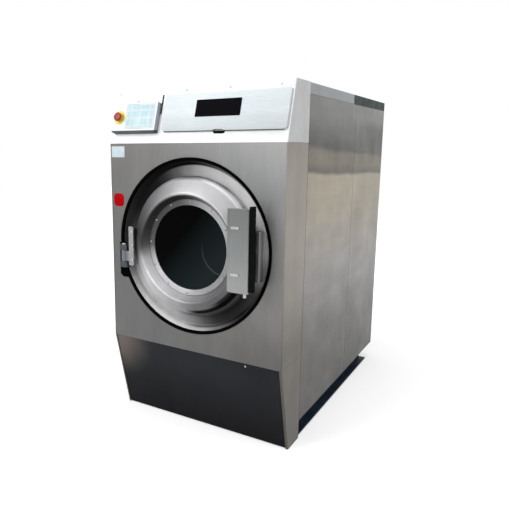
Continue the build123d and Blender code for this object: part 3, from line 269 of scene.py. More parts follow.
def brushed(name, colour, grain, rough=0.34, tone=0.10, metal=0.4, fades=(), patch=1.6, gloss=0.3):
    """Ground sheet: hair lines drawn out along one axis, slow clouds of tone and polish.

    Colour is a colour, or a function that makes one from the tree and the place. Grain is the
    scale of the lines on each axis, small along the line. Each fade holds faded's last five."""
    made, tree, shader = new_material(name, gloss)
    point = object_point(tree)
    hair = noise(tree, object_point(tree, grain), 900.0, 2.0, 0.6)
    broad = noise(tree, object_point(tree, grain), 10.8, 3.0, 0.55)
    cloud = noise(tree, point, patch, 3.0, 0.45)
    base = colour(tree, point) if callable(colour) else shade(colour, 1)
    base = darkened(tree, base, spread(tree, cloud, 1 - tone, 1 + tone, 0.35, 0.65))
    for value, depth in ((hair, 0.10), (broad, 0.06)):
        base = darkened(tree, base, spread(tree, value, 1 - depth, 1 + depth))
    for fade in fades:
        base = faded(tree, base, point, *fade)
    tree.links.new(base, shader.inputs["Base Color"])
    shader.inputs["Metallic"].default_value = metal
    smear = maths(tree, "ADD", hair, noise(tree, point, 7.0, 6.0))
    tree.links.new(spread(tree, smear, rough - 0.07, rough + 0.10, 0.7, 1.3), shader.inputs["Roughness"])
    bumped(tree, shader, hair, 0.0004, 0.25)
    return made


along_x, along_y, along_z = (0.02, 1, 1), (1, 0.02, 1), (1, 1, 0.02)
tub_sheet = brushed("ground_tub_sheet", (0.40, 0.40, 0.40), along_y)
wear(["tub_shell", "tub_back"], tub_sheet)


# Dished front of the tub: spun stainless steel, with a flat floor and a wall that rises to the
# front's hole. A lathe leaves rings on it. Its tones about the drum's axis are painted: painted
# highlights in some directions, painted shade between them, and painted shade along the corner.
drum_height = 0.98


def drum_point(tree):
    """The surface's own place, from the drum's axis."""
    return object_point(tree, shift=(0, 0, -drum_height))


def across_drum(tree):
    """The place in the plane across the drum's axis, and how far from the axis it is."""
    flat = object_point(tree, (1, 0, 1), (0, 0, -drum_height))
    return flat, vector_maths(tree, "LENGTH", flat)


def painted_tones_by_angle(tree, stops):
    """The tone for each direction about the drum's axis, as painted highlights and painted shade.

    A stop is an angle in degrees, from the right-hand side and up over the top, and a tone."""
    place = node(tree, "SeparateXYZ", {0: drum_point(tree)}).outputs
    turn = maths(tree, "ARCTAN2", place["Z"], place["X"])
    sway = spread(tree, noise(tree, object_point(tree), 5.0, 2.0), -0.012, 0.012)
    share = maths(tree, "FRACT", maths(tree, "MULTIPLY_ADD", turn, 1 / math.tau, sway))
    ramp = node(tree, "ValToRGB", {0: share})
    ramp.color_ramp.interpolation = "B_SPLINE"
    marks = ramp.color_ramp.elements
    for angle, tone in stops:
        mark = marks.new(angle / 360)
        mark.color = (tone, tone, tone, 1)
    marks[0].color = marks[-1].color = marks[1].color
    return ramp.outputs["Color"]


def blend_numbers(tree, share, first, second):
    """Two numbers mixed by a share."""
    return node(tree, "Mix", {0: share, 2: first, 3: second}, data_type="FLOAT").outputs[0]


def past(tree, reach, radius):
    """0 inside a radius and 1 outside it, with a soft edge 8 mm wide."""
    soft = 0.004
    return spread(tree, reach, 0.0, 1.0, radius - soft, radius + soft)


def arc_share(tree, flat, reach, near, far, middle, half):
    """1 within an arc about the drum's axis and 0 outside it, with soft edges.

    The arc lies between two radii, and within so many degrees of its middle."""
    heading = vector_maths(tree, "NORMALIZE", flat, result="Vector")
    aim = (math.cos(math.radians(middle)), 0, math.sin(math.radians(middle)))
    cosine = vector_maths(tree, "DOT_PRODUCT", heading, aim)
    low, high = (math.cos(math.radians(half + step)) for step in (9, -3))
    share = spread(tree, cosine, 0.0, 1.0, low, high)
    share = maths(tree, "MULTIPLY", share, past(tree, reach, near))
    return maths(tree, "MULTIPLY", share, maths(tree, "SUBTRACT", 1.0, past(tree, reach, far)))


def spun(name, bands, arcs, gloss, rough=0.36, metal=0.4, tint=(1, 1, 1, 1)):
    """Turned metal with fine rings, in bands of painted highlights and painted shade by direction.

    Each band has the radius it ends at and a painted tone for each direction. Each arc has its two
    radii, the middle of its span, half the span in degrees, and the factor on the tone there: a
    painted highlight over 1, and painted shade or shadow under it."""
    made, tree, shader = new_material(name, gloss)
    point = drum_point(tree)
    flat, reach = across_drum(tree)
    ring_place = node(tree, "CombineXYZ", {0: reach, 1: along(tree, "Y", point), 2: 0.0}).outputs[0]
    ring = noise(tree, ring_place, 900.0, 2.0, 0.6)
    base = painted_tones_by_angle(tree, bands[0][1])
    for (edge, _), (_, stops) in zip(bands, bands[1:]):
        base = blend_colours(tree, past(tree, reach, edge), base, painted_tones_by_angle(tree, stops))
    for near, far, middle, half, factor in arcs:
        share = arc_share(tree, flat, reach, near, far, middle, half)
        base = darkened(tree, base, blend_numbers(tree, share, 1.0, factor))
    base = blend_colours(tree, 1.0, base, tint, "MULTIPLY")
    base = darkened(tree, base, spread(tree, ring, 0.92, 1.08))
    base = darkened(tree, base, spread(tree, noise(tree, point, 14.0, 5.0), 0.92, 1.08))
    tree.links.new(base, shader.inputs["Base Color"])
    tone = node(tree, "RGBToBW", {0: base}).outputs[0]
    tree.links.new(spread(tree, tone, 0.0, metal, 0.0, 0.08), shader.inputs["Metallic"])
    smear = noise(tree, point, 9.0, 6.0)
    tree.links.new(spread(tree, smear, rough - 0.06, rough + 0.1), shader.inputs["Roughness"])
    bumped(tree, shader, ring, 0.0003, 0.3)
    return made


dish_floor_edge, dish_wall_edge, beyond = 0.403, 0.412, 0.5
# Painted highlights and painted shade for each direction on the dish's floor and wall.
dish_floor_painted_light = (
    (0, 0.90), (35, 0.50), (65, 0.50), (88, 0.34), (106, 0.06), (130, 0.003), (182, 0.01), (195, 0.35),
    (225, 0.62), (270, 0.15), (292, 0.02), (329, 0.015), (339, 0.25),
)
dish_wall_painted_light = (
    (0, 0.90), (30, 0.45), (75, 0.06), (95, 0.005), (190, 0.005), (225, 0.80), (275, 0.75), (300, 0.005),
    (329, 0.005), (341, 0.35),
)
# Painted shade in four arcs along the corner where the dish's floor meets its wall.
dish_corner_painted_shade = [
    (dish_floor_edge, dish_wall_edge, middle, half, factor)
    for middle, half, factor in ((30, 5, 0.25), (90, 12, 0.35), (240, 26, 0.75), (293, 22, 0.2))
]
tub_painted_light_bands = ((dish_floor_edge, dish_floor_painted_light), (beyond, dish_wall_painted_light))
wear(["tub_front"], spun("spun_tub_front_painted_light", tub_painted_light_bands, dish_corner_painted_shade, gloss=0.0, metal=0.3))


# Basket: a drum of stainless sheet with punched holes, three pressed lifters welded inside it,
# and a cast spider that bolts its rear to the shaft.
def punched(name, colour):
    """Sheet with round holes in rows round the drum's axis, as near-black spots of painted shade for
    the dark behind them, with a pressed rim.
    """
    made, tree, shader = new_material(name)
    place = drum_point(tree)
    part = node(tree, "SeparateXYZ", {0: place}).outputs
    basket_radius, holes_to_the_metre = 0.4, 62.0
    hole_edge, pressed_rim = (0.22, 0.26), (0.18, 0.36)
    round_way = maths(tree, "MULTIPLY", maths(tree, "ARCTAN2", part["X"], part["Z"]), basket_radius)
    sheet_place = node(tree, "CombineXYZ", {0: round_way, 1: part["Y"], 2: 0.0}).outputs[0]
    cells = node(tree, "TexVoronoi", {
        "Vector": sheet_place, "Scale": holes_to_the_metre, "Randomness": 0.0,
    }, voronoi_dimensions="2D").outputs["Distance"]
    cover = spread(tree, cells, 0, 1, *hole_edge)
    metal = darkened(tree, shade(colour, 1), spread(tree, noise(tree, place, 6.0), 0.85, 1.1))
    # The holes are painted near black, as shade for the dark tub behind them.
    tree.links.new(blend_colours(tree, cover, (0.004, 0.004, 0.004, 1), metal), shader.inputs["Base Color"])
    tree.links.new(cover, shader.inputs["Metallic"])
    tree.links.new(spread(tree, noise(tree, place, 30.0), 0.22, 0.34), shader.inputs["Roughness"])
    bumped(tree, shader, spread(tree, cells, 0, 1, *pressed_rim), 0.001, 0.6)
    return made


wear(["basket_shell"], punched("punched_basket_sheet", (0.45, 0.45, 0.45)))
wear(["basket_lifters"], brushed("pressed_lifter_sheet", (0.45, 0.45, 0.45), along_y, rough=0.28))


def cast(name, colour, rough=0.55, metal=0.0, grit=320.0):
    """Sand casting: a pebbled skin with darker hollows."""
    made, tree, shader = new_material(name)
    point = object_point(tree)
    pebble = noise(tree, point, grit, 4.0, 0.6)
    cloud = noise(tree, point, 8.0, 4.0)
    base = blend_colours(tree, spread(tree, cloud, 0, 1), shade(colour, 0.75), shade(colour, 1.2))
    base = blend_colours(tree, spread(tree, pebble, 0.35, 0.0), base, shade(colour, 0.5))
    tree.links.new(base, shader.inputs["Base Color"])
    shader.inputs["Metallic"].default_value = metal
    tree.links.new(spread(tree, pebble, rough - 0.1, rough + 0.1), shader.inputs["Roughness"])
    bumped(tree, shader, pebble, 0.0012, 0.45)
    return made


cast_grey = cast("painted_casting", (0.09, 0.10, 0.11))
wear(["basket_spider", "bearing_housing", "drum_pulley", "motor_pulley"], cast_grey)


# Drive: a ground steel shaft in two bearings behind a rubber seal, three rubber belts, and a
# motor in blue-grey enamel with its inverter's box. The pins, the lid's rod, the lock's bolt and
# tongue and the drain's ball are bright steel too, and the door's gasket and edging are rubber.
def ground(name, colour, rough=0.2, metal=1.0):
    """Machined bright metal with faint turning marks and oil stains."""
    made, tree, shader = new_material(name)
    point = object_point(tree)
    marks = noise(tree, point, 700.0, 2.0)
    stain = noise(tree, point, 25.0, 5.0)
    base = blend_colours(tree, spread(tree, stain, 0, 1), shade(colour, 0.8), shade(colour, 1.1))
    tree.links.new(base, shader.inputs["Base Color"])
    shader.inputs["Metallic"].default_value = metal
    tree.links.new(spread(tree, stain, rough - 0.06, rough + 0.12), shader.inputs["Roughness"])
    bumped(tree, shader, marks, 0.0002, 0.3)
    return made


def moulded(name, colour, rough, depth=0.0003, tone=0.08, gloss=0.35):
    """Moulded plastic or rubber: a fine spark-eroded grain and a little handling shine."""
    made, tree, shader = new_material(name, gloss)
    point = object_point(tree)
    skin = noise(tree, point, 900.0, 3.0)
    rub = noise(tree, point, 14.0, 5.0)
    base = blend_colours(tree, spread(tree, rub, 0, 1), shade(colour, 1 - tone), shade(colour, 1 + tone))
    tree.links.new(base, shader.inputs["Base Color"])
    tree.links.new(spread(tree, rub, rough - 0.08, rough + 0.1), shader.inputs["Roughness"])
    bumped(tree, shader, skin, depth, 0.5)
    return made


bright_steel = ground("ground_steel", (0.55, 0.55, 0.54))
black_rubber = moulded("black_rubber", (0.0025, 0.0025, 0.0027), rough=0.6, tone=0.3, gloss=0.0)
wear(["drive_shaft", "shaft_bearings", "hinge_pin", "handle_pin", "lid_hinge_rod", "lock_bolt",
      "drain_ball", "latch_tongue"], bright_steel)
wear(["shaft_seal", "drive_belts", "door_gasket", "door_trim"], black_rubber)
wear(["motor_body"], enamel("motor_enamel", (0.10, 0.13, 0.18), rough=0.42))
wear(["inverter_box"], enamel("inverter_enamel", (0.42, 0.43, 0.44), rough=0.5))


# Drain and services: a moulded grey ball valve and a pipe that take the water out low at the
# rear. Two brass water inlets and a black cable gland are fixed high in the rear panel.
grey_plastic = moulded("grey_plastic", (0.16, 0.17, 0.18), rough=0.5)
black_plastic = moulded("black_plastic", (0.005, 0.005, 0.005), rough=0.5, tone=0.25, gloss=0.02)
wear(["drain_valve", "drain_pipe"], grey_plastic)
wear(["water_valves"], ground("turned_brass", (0.52, 0.38, 0.16), rough=0.28))
wear(["power_gland"], black_plastic)


# Cabinet: stainless sheet, ground along its height. The front is one pressed sheet whose sides
# fold back, with a cheek under each fold. Folded panels close the sides and the rear. All are
# screwed together. The front, the cheeks and the sides carry a painted reflection of the room in
# soft bands, with painted light and shade across the front.
def by_height(tree, point, stops, sway=0.0, lean=0.0):
    """The colour for each height, from pairs of height and colour.

    The bands waver by the sway, and rise towards the front by the lean."""
    top, rear = 1.8, 0.8
    climb = vector_maths(tree, "DOT_PRODUCT", point, (0, lean, 1))
    height = maths(tree, "SUBTRACT", climb, rear * lean)
    if sway:
        wave = noise(tree, object_point(tree, (1, 1, 6)), 2.2, 3.0)
        height = maths(tree, "ADD", height, spread(tree, wave, -sway, sway))
    ramp = node(tree, "ValToRGB", {0: spread(tree, height, 0.0, 1.0, 0.0, top)})
    marks = ramp.color_ramp.elements
    for z, colour in stops:
        marks.new(z / top).color = (*colour, 1)
    marks[0].color, marks[-1].color = marks[1].color, marks[-2].color
    return ramp.outputs["Color"]


def greys(pairs, tint=(1, 1, 1)):
    """Pairs of height and tone as pairs of height and colour."""
    return [(z, tuple(tone * part for part in tint)) for z, tone in pairs]


# Painted reflection: tones by height on the front's flanges and on the cheeks.
flange_painted_reflection = greys((
    (0.05, 0.085), (0.5, 0.10), (0.9, 0.21), (1.3, 0.255), (1.5, 0.22), (1.62, 0.32),
), (1.10, 1.0, 0.86))


def front_painted_light(tree, point):
    """The front's face, with painted light: lighter towards its upper right and just right of the
    hole, painted shade towards its lower right, and painted shade at its left edge. Its right bend
    and both its flanges have a painted reflection in tones that follow height."""
    warmth = spread(tree, noise(tree, point, 1.3), 0, 1)
    face = blend_colours(tree, warmth, (0.170, 0.176, 0.180, 1), (0.176, 0.169, 0.160, 1))
    upper_right, lower_right = (0.6, 0, 0.8), (0.75, 0, -0.66)
    face = faded(tree, face, point, upper_right, 0.5, 1.0, 0.80, 0.97)
    face = faded(tree, face, point, upper_right, 1.1, 1.46, 0.93, 1.75)
    face = faded(tree, face, point, lower_right, -0.25, 0.05, 1.0, 0.87)
    flat, reach = across_drum(tree)
    # Painted light just right of the hole.
    painted_light_beside_hole = arc_share(tree, flat, reach, 0.43, 0.7, -8, 28)
    face = darkened(tree, face, blend_numbers(tree, painted_light_beside_hole, 1.0, 1.3))
    face = faded(tree, face, point, (1, 0, 0), -0.5, -0.487, 0.42, 1.0)
    right_bend = spread(tree, along(tree, "X", point), 0.0, 1.0, 0.494, 0.499)
    folded_back = spread(tree, along(tree, "Y", point), 0.0, 1.0, -0.766, -0.762)
    flange = maths(tree, "MAXIMUM", right_bend, folded_back)
    return blend_colours(tree, flange, face, by_height(tree, point, flange_painted_reflection))


def cheek_painted_reflection(tree, point):
    """The cheeks carry the flange's painted reflection, in tones by height, on down to the floor."""
    return by_height(tree, point, flange_painted_reflection)


painted_foot_shade = greys(((0.08, 0.045), (0.45, 0.095), (0.8, 0.20)), (1.06, 1.0, 0.96))
painted_warm_reflection = greys(
    ((1.12, 0.26), (1.285, 0.30), (1.303, 0.07), (1.35, 0.13), (1.40, 0.12)), (1.14, 1.0, 0.76)
)
painted_head_reflection = greys(((1.425, 0.045), (1.50, 0.10), (1.6, 0.16), (1.72, 0.20)), (0.99, 1.0, 0.93))


def side_painted_reflection(tree, point):
    """The sides carry a painted reflection of the room: a dark band under the top with a warm edge,
    and painted shade on a darker foot. The band is darkest towards the rear."""
    # Painted reflection in bands by height, with painted shade on the foot.
    tone = by_height(tree, point, painted_foot_shade + painted_warm_reflection + painted_head_reflection, sway=0.010, lean=0.04)
    streak = noise(tree, object_point(tree, (1, 1, 5)), 3.0, 4.0)
    tone = darkened(tree, tone, spread(tree, streak, 0.9, 1.1))
    rearward = spread(tree, along(tree, "Y", point), 1.0, 0.62, 0.15, 0.5)
    height = along(tree, "Z", point)
    low_edge = spread(tree, height, 0.0, 1.0, 1.44, 1.48)
    high_edge = spread(tree, height, 1.0, 0.0, 1.58, 1.63)
    band = maths(tree, "MULTIPLY", low_edge, high_edge)
    return darkened(tree, tone, blend_numbers(tree, band, 1.0, rearward))


front_steel = brushed(
    "brushed_front_steel_painted_light", front_painted_light, along_z, rough=0.40, tone=0.05, patch=3.0, metal=0.35,
)
cheek_steel = brushed("brushed_cheek_steel_painted_reflection", cheek_painted_reflection, along_z, rough=0.40, tone=0.05, metal=0.35)
side_steel = brushed(
    "brushed_side_steel_painted_reflection", side_painted_reflection, along_z, rough=0.36, tone=0.05, patch=2.2, metal=0.35,
)
rear_steel = brushed("rear_steel", (0.27, 0.265, 0.255), along_z, rough=0.42, metal=0.35)
wear(["front_panel"], front_steel)
wear(["cheek_left", "cheek_right"], cheek_steel)
wear(["side_panels_left", "side_panels_right"], side_steel)
wear(["rear_panel"], rear_steel)


# Louvres: each slot in the rear panel is under a hood pressed out of the same sheet. They let
# the drive's heat out, in two columns, and keep drips off it.
def add_piece(name, points, faces, material, body, sharp=35):
    """A piece made from points in metres and faces, with its material, on one of the bodies."""
    mesh = bpy.data.meshes.new(name)
    mesh.from_pydata(np.asarray(points).tolist(), [], faces)
    mesh.polygons.foreach_set("use_smooth", [True] * len(mesh.polygons))
    mesh.set_sharp_from_angle(angle=math.radians(sharp))
    mesh.materials.append(material)
    piece = bpy.data.objects.new(name, mesh)
    bpy.context.scene.collection.objects.link(piece)
    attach(piece, body)
    return piece


def louvre_hoods(material):
    """Hoods as one mesh: the depth is greatest at the lower lip and falls as a quarter of a
    circle to the top, times one less the eighth power of the place along the slot."""
    hood_depth, half_width, hood_height, sheet_thickness = 0.009, 0.114, 0.016, 0.0012
    first_lip, pitch, hoods_each = 0.717, 0.034, 10
    along_slot, over_slot = np.meshgrid(np.linspace(-1, 1, 25), np.linspace(0, 1, 8))
    bulge = hood_depth * np.sqrt(1 - over_slot ** 2) * (1 - along_slot ** 8)
    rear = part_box("rear_panel")[1][1]
    rows, columns = bulge.shape
    sheet = [(r * columns + c, (r + 1) * columns + c, (r + 1) * columns + c + 1, r * columns + c + 1)
             for r in range(rows - 1) for c in range(columns - 1)]
    points, faces = [], []
    for row in range(hoods_each):
        for x in (-0.25, 0.25):
            base = len(points) * bulge.size
            z = first_lip + pitch * row
            hood = (x + half_width * along_slot, rear + bulge, z + hood_height * over_slot)
            points.append(np.stack(hood, axis=-1).reshape(-1, 3))
            faces += [tuple(base + i for i in face) for face in sheet]
    hoods = add_piece("louvre_hoods", np.concatenate(points), faces, material, "frame", sharp=60)
    thicken = hoods.modifiers.new("sheet", "SOLIDIFY")
    thicken.thickness = sheet_thickness


louvre_hoods(rear_steel)


# Toe panel: charcoal satin paint on a sheet that slopes back to clear a foot. A warm painted
# reflection fades from its upper left corner, and painted shade darkens it towards the floor.
def toe_paint_painted_light():
    """Dark satin paint, with a warm painted reflection that fades from the upper left corner, and
    painted shade towards the floor.
    """
    made, tree, shader = new_material("charcoal_satin_painted_light", 0.06)
    point = object_point(tree)
    tone = spread(tree, noise(tree, point, 3.0), 0, 1)
    painted = blend_colours(tree, tone, (0.018, 0.019, 0.023, 1), (0.026, 0.027, 0.032, 1))
    # A warm painted reflection fades from the upper left corner.
    upper_left = (-0.52, -0.75, 0.47)
    sway = maths(tree, "MULTIPLY", noise(tree, point, 6.0, 3.0), 0.06)
    away = maths(tree, "ADD", vector_maths(tree, "DISTANCE", point, upper_left), sway)
    painted_reflection_share = node(tree, "MapRange", {
        "Value": away, "From Min": 0.08, "From Max": 0.33, "To Min": 1.0, "To Max": 0.0,
    }, interpolation_type="SMOOTHSTEP").outputs["Result"]
    # Painted shade: darker towards the floor.
    painted = faded(tree, painted, point, (0, 0, 1), 0.02, 0.36, 0.25, 1.0)
    painted = blend_colours(tree, painted_reflection_share, painted, (0.17, 0.145, 0.13, 1))
    tree.links.new(painted, shader.inputs["Base Color"])
    tree.links.new(spread(tree, noise(tree, point, 14.0, 5.0), 0.4, 0.55), shader.inputs["Roughness"])
    bumped(tree, shader, noise(tree, point, 180.0, 2.0), 0.0005, 0.5)
    return made


wear(["toe_panel"], toe_paint_painted_light())


# Top covers: two folded sheets with a flange down each side, screwed to the casing's head. The
# front one is satin steel, and the rear one is painted in dark green-grey enamel.
cover_steel = brushed("cover_steel", (0.27, 0.285, 0.30), along_x, rough=0.4, tone=0.05)
cover_enamel = enamel("dark_cover_enamel", (0.043, 0.054, 0.056), rough=0.5, gloss=0.06)
wear(["top_cover_front"], cover_steel)
wear(["top_cover_rear"], cover_enamel)


# Control fascia: a folded shell of bright satin steel that leans back, across the head of the
# front. A white moulded hopper with five supply cups hangs behind its mouth, and a steel lid on
# a rod closes it. Painted shade darkens the right side wall, and the lid has painted shade towards
# its foot and a painted shadow line along its lower edge.
tilt = math.radians(16)
panel_face, seam_height = -0.7705, 1.486
up_slope = (0, math.sin(tilt), math.cos(tilt))
out_of_face = (0, -math.cos(tilt), math.sin(tilt))
lid_foot = panel_face * up_slope[1] + seam_height * up_slope[2] + 0.055
# Painted shade on the fascia's right side wall.
right_wall_painted_shade = ((1, 0, 0), 0.4975, 0.4985, 1.0, 0.60)
fascia_steel = brushed(
    "bright_fascia_steel_painted_shade", (0.90, 0.905, 0.91), along_x, rough=0.5, tone=0.02, metal=0.05, gloss=0.05,
    fades=(right_wall_painted_shade,),
)
# Painted shade towards the lid's foot, and a painted shadow line along its lower edge.
lid_painted_shade = (up_slope, lid_foot, lid_foot + 0.09, 0.82, 1.0)
lid_edge_painted_shadow = (up_slope, lid_foot + 0.0005, lid_foot + 0.0022, 0.2, 1.0)
lid_steel_painted_shade = brushed(
    "lid_steel_painted_shade", (0.68, 0.735, 0.76), along_x, rough=0.5, tone=0.03, metal=0.05, patch=2.5, gloss=0.05,
    fades=(lid_painted_shade, lid_edge_painted_shadow),
)
wear(["control_fascia"], fascia_steel)
wear(["dispenser_lid"], lid_steel_painted_shade)
wear(["dispenser_hopper"], moulded("white_hopper_plastic", (0.75, 0.75, 0.72), rough=0.45))


# Screen pod: a moulded plastic box, screwed to the fascia at the upper left. Its face is pale.
# Its sides carry painted shade in a bluish grey, and its underside and lowest edge a darker
# painted shadow. The screen's case sits in its face.
def pod_plastic_painted_shade():
    """Moulded plastic whose tone goes by how far out of the fascia it stands, and by height: painted
    shade on its sides and a painted shadow on its underside.
    """
    made, tree, shader = new_material("pod_plastic_painted_shade", 0.3)
    point = object_point(tree)
    from_seam = object_point(tree, shift=(0, -panel_face, -seam_height))
    out = vector_maths(tree, "DOT_PRODUCT", from_seam, out_of_face)
    tone = spread(tree, noise(tree, point, 4.0), 0, 1)
    # Painted shade on the sides and a painted shadow on the underside and lowest edge.
    side = blend_colours(tree, tone, (0.24, 0.275, 0.32, 1), (0.29, 0.32, 0.37, 1))
    below = blend_colours(tree, tone, (0.026, 0.036, 0.042, 1), (0.036, 0.046, 0.052, 1))
    face = blend_colours(tree, tone, (0.80, 0.82, 0.83, 1), (0.86, 0.88, 0.89, 1))
    face_edge, underside_edge = (0.0285, 0.0295), (1.5495, 1.5515)
    front = spread(tree, out, 0.0, 1.0, *face_edge)
    under = spread(tree, along(tree, "Z", point), 1.0, 0.0, *underside_edge)
    paint = blend_colours(tree, front, side, face)
    tree.links.new(blend_colours(tree, under, paint, below), shader.inputs["Base Color"])
    tree.links.new(spread(tree, noise(tree, point, 14.0), 0.38, 0.5), shader.inputs["Roughness"])
    bumped(tree, shader, noise(tree, point, 900.0), 0.0003, 0.5)
    return made


wear(["screen_pod"], pod_plastic_painted_shade())
wear(["touch_screen"], moulded("screen_case", (0.62, 0.66, 0.68), rough=0.3, depth=0.0001))


# Screen: a pale lit panel under a clear front, let into the pod's moulded case. Its picture is a
# plain layout of soft blue tiles.
def on_fascia(x, along_slope, out):
    """The place of a point on the sloping fascia, from its seam: across, up the slope, and out of
    its face. The last two ways lean back by the tilt, so each is a sum of its cosine and sine."""
    return np.stack([
        x + 0 * out,
        panel_face + along_slope * math.sin(tilt) - out * math.cos(tilt),
        seam_height + along_slope * math.cos(tilt) + out * math.sin(tilt),
    ], axis=-1)


def rounded(width, height, corner):
    """The outline of a rectangle, anticlockwise about 0, 0. Each corner is a quarter circle: its
    middle is in from both sides by the radius, plus the radius times the angle's cosine and sine."""
    turn = np.linspace(0, math.pi / 2, 6)
    points = []
    for quarter in range(4):
        across = (width / 2 - corner) * (1 if quarter in (0, 3) else -1)
        upward = (height / 2 - corner) * (1 if quarter in (0, 1) else -1)
        angle = turn + quarter * math.pi / 2
        points.append(np.stack([across + corner * np.cos(angle), upward + corner * np.sin(angle)], axis=1))
    return np.concatenate(points)


def ringed(rings, count):
    """Faces that join rings of as many points each, and a face over each end."""
    faces = []
    for row in range(rings - 1):
        low, high = row * count, (row + 1) * count
        faces += [(low + i, low + (i + 1) % count, high + (i + 1) % count, high + i) for i in range(count)]
    faces.append(tuple(range(count - 1, -1, -1)))
    faces.append(tuple(range((rings - 1) * count, rings * count)))
    return faces


def tablet(name, middle, size, corner, levels, place, material, body):
    """A flat piece with softened edges: a rounded outline, carried out from level to level.

    Each level is how far its outline stands in from the full size, and how far out it is."""
    rings, least_corner = [], 0.0004
    for inset, out in levels:
        ring = rounded(size[0] - 2 * inset, size[1] - 2 * inset, max(corner - inset, least_corner))
        rings.append(place(ring[:, 0] + middle[0], ring[:, 1] + middle[1], np.full(len(ring), out)))
    return add_piece(name, np.concatenate(rings), ringed(len(levels), len(ring)), material, body)


screen_x, screen_height = -0.305, 1.6125


def lit_panel():
    """Pale blue light, a little uneven, with rows of softly outlined tiles."""
    made, tree, shader = new_material("lit_panel", 0.1)
    point = object_point(tree, (1, 0, 1), (-screen_x, 0, -screen_height))
    flat = node(tree, "CombineXYZ", {0: along(tree, "X", point), 1: along(tree, "Z", point)}).outputs[0]
    tile = node(tree, "TexBrick", {
        "Vector": flat,
        "Scale": 1.0, "Mortar Size": 0.006, "Mortar Smooth": 0.4, "Brick Width": 0.056, "Row Height": 0.038,
        "Color1": (0.50, 0.67, 0.74, 1), "Color2": (0.56, 0.72, 0.75, 1), "Mortar": (0.64, 0.75, 0.77, 1),
    }, offset=0.0)
    cloud = spread(tree, noise(tree, point, 30.0), 0.94, 1.04)
    picture = darkened(tree, tile.outputs["Color"], cloud)
    tree.links.new(picture, shader.inputs["Base Color"])
    tree.links.new(spread(tree, noise(tree, point, 60.0), 0.12, 0.2), shader.inputs["Roughness"])
    return made


screen_levels = ((0, 0.0301), (0, 0.0306), (0.0005, 0.0309))
tablet("screen_panel", middle=(screen_x, 0.1315), size=(0.168, 0.114), corner=0.003,
       levels=screen_levels, place=on_fascia, material=lit_panel(), body="frame")


# Emergency stop: a moulded red mushroom head with finger flutes in its rim, on a stem that goes
# into a yellow disc. It is clamped through the fascia, left of the screen.
def mushroom_head(material):
    """Pairs of radius and height, turned about the head's own axis. Near the greatest radius, the
    flutes take off a share of it: half of one less the cosine of sixteen times the angle."""
    profile = (
        (0.0075, 0.0095), (0.0075, 0.0435), (0.0185, 0.0435), (0.0222, 0.0448), (0.0229, 0.0465),
        (0.0229, 0.0495), (0.0222, 0.0520), (0.0200, 0.0545), (0.0160, 0.0560), (0.0100, 0.0567),
        (0.0030, 0.0570),
    )
    stop_x, stop_up_slope = -0.434, 0.127
    count, flutes, flute_depth = 96, 16, 0.03
    turn = np.arange(count) / count * math.tau
    fluted_from = 0.9 * max(radius for radius, _ in profile)
    rings = []
    for radius, height in profile:
        wave = 1 - flute_depth * (radius > fluted_from) * (1 - np.cos(flutes * turn)) / 2
        rings.append(on_fascia(
            stop_x + radius * wave * np.cos(turn), stop_up_slope + radius * wave * np.sin(turn),
            np.full(count, height),
        ))
    return add_piece("stop_mushroom", np.concatenate(rings), ringed(len(profile), count), material, "estop")


wear(["estop_base"], moulded("yellow_plastic", (0.74, 0.64, 0.10), rough=0.35))
head = mushroom_head(moulded("red_plastic", (0.30, 0.012, 0.004), rough=0.35))
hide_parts("estop_head")


# Plates and stickers: a black plate on the lid, a pale sticker at the front's upper left corner
# and a red one beside the door, all bare. A black liner in the finger notch under the lid is
# painted shade for the hollow, and a black strip beside the pod is a painted shadow line at the
# lid's left edge.
def on_front(x, height, out):
    """The place of a point on the upright front panel: across, up, and forward of its face."""
    return np.stack([x + 0 * out, panel_face - out, height + 0 * out], axis=-1)


def sticker(name, colour, rough, gloss, pebble=0.0001):
    """Film in an even colour with a faint mottle and a slightly pebbled gloss."""
    made, tree, shader = new_material(name, gloss)
    point = object_point(tree)
    mottle = spread(tree, noise(tree, point, 45.0, 4.0), 0.93, 1.06)
    tree.links.new(darkened(tree, shade(colour, 1), mottle), shader.inputs["Base Color"])
    gloss_mottle = noise(tree, point, 90.0)
    tree.links.new(spread(tree, gloss_mottle, rough - 0.05, rough + 0.08), shader.inputs["Roughness"])
    bumped(tree, shader, noise(tree, point, 1400.0, 2.0), pebble, 0.4)
    return made


plate_paint = sticker("black_plate", (0.004, 0.004, 0.005), rough=0.5, gloss=0.01, pebble=0.00002)
pale_film = sticker("pale_film", (0.58, 0.66, 0.72), rough=0.4, gloss=0.1)
red_film = sticker("red_film", (0.40, 0.0015, 0.004), rough=0.4, gloss=0.03)
plate_levels = ((0, 0.0125), (0, 0.0134), (0.0006, 0.0139))
film_levels = ((0, 0.0), (0, 0.0003), (0.0002, 0.0004))
notch_shade_levels = ((0, -0.0018), (0, -0.0012), (0.0005, -0.0008))
shadow_strip_levels = ((0, 0.0), (0, 0.0035), (0.0008, 0.0045))
tablet("name_plate", middle=(0.133, 0.1645), size=(0.242, 0.083), corner=0.004,
       levels=plate_levels, place=on_fascia, material=plate_paint, body="lid")
tablet("pale_sticker", middle=(-0.447, 1.444), size=(0.086, 0.056), corner=0.003,
       levels=film_levels, place=on_front, material=pale_film, body="frame")
tablet("red_sticker", middle=(-0.448, 1.194), size=(0.068, 0.068), corner=0.020,
       levels=film_levels, place=on_front, material=red_film, body="frame")
# Painted shade: a black liner for the hollow of the finger notch.
tablet("finger_notch_painted_shade", middle=(0.150, 0.0515), size=(0.0635, 0.0145), corner=0.002,
       levels=notch_shade_levels, place=on_fascia, material=black_plastic, body="frame")
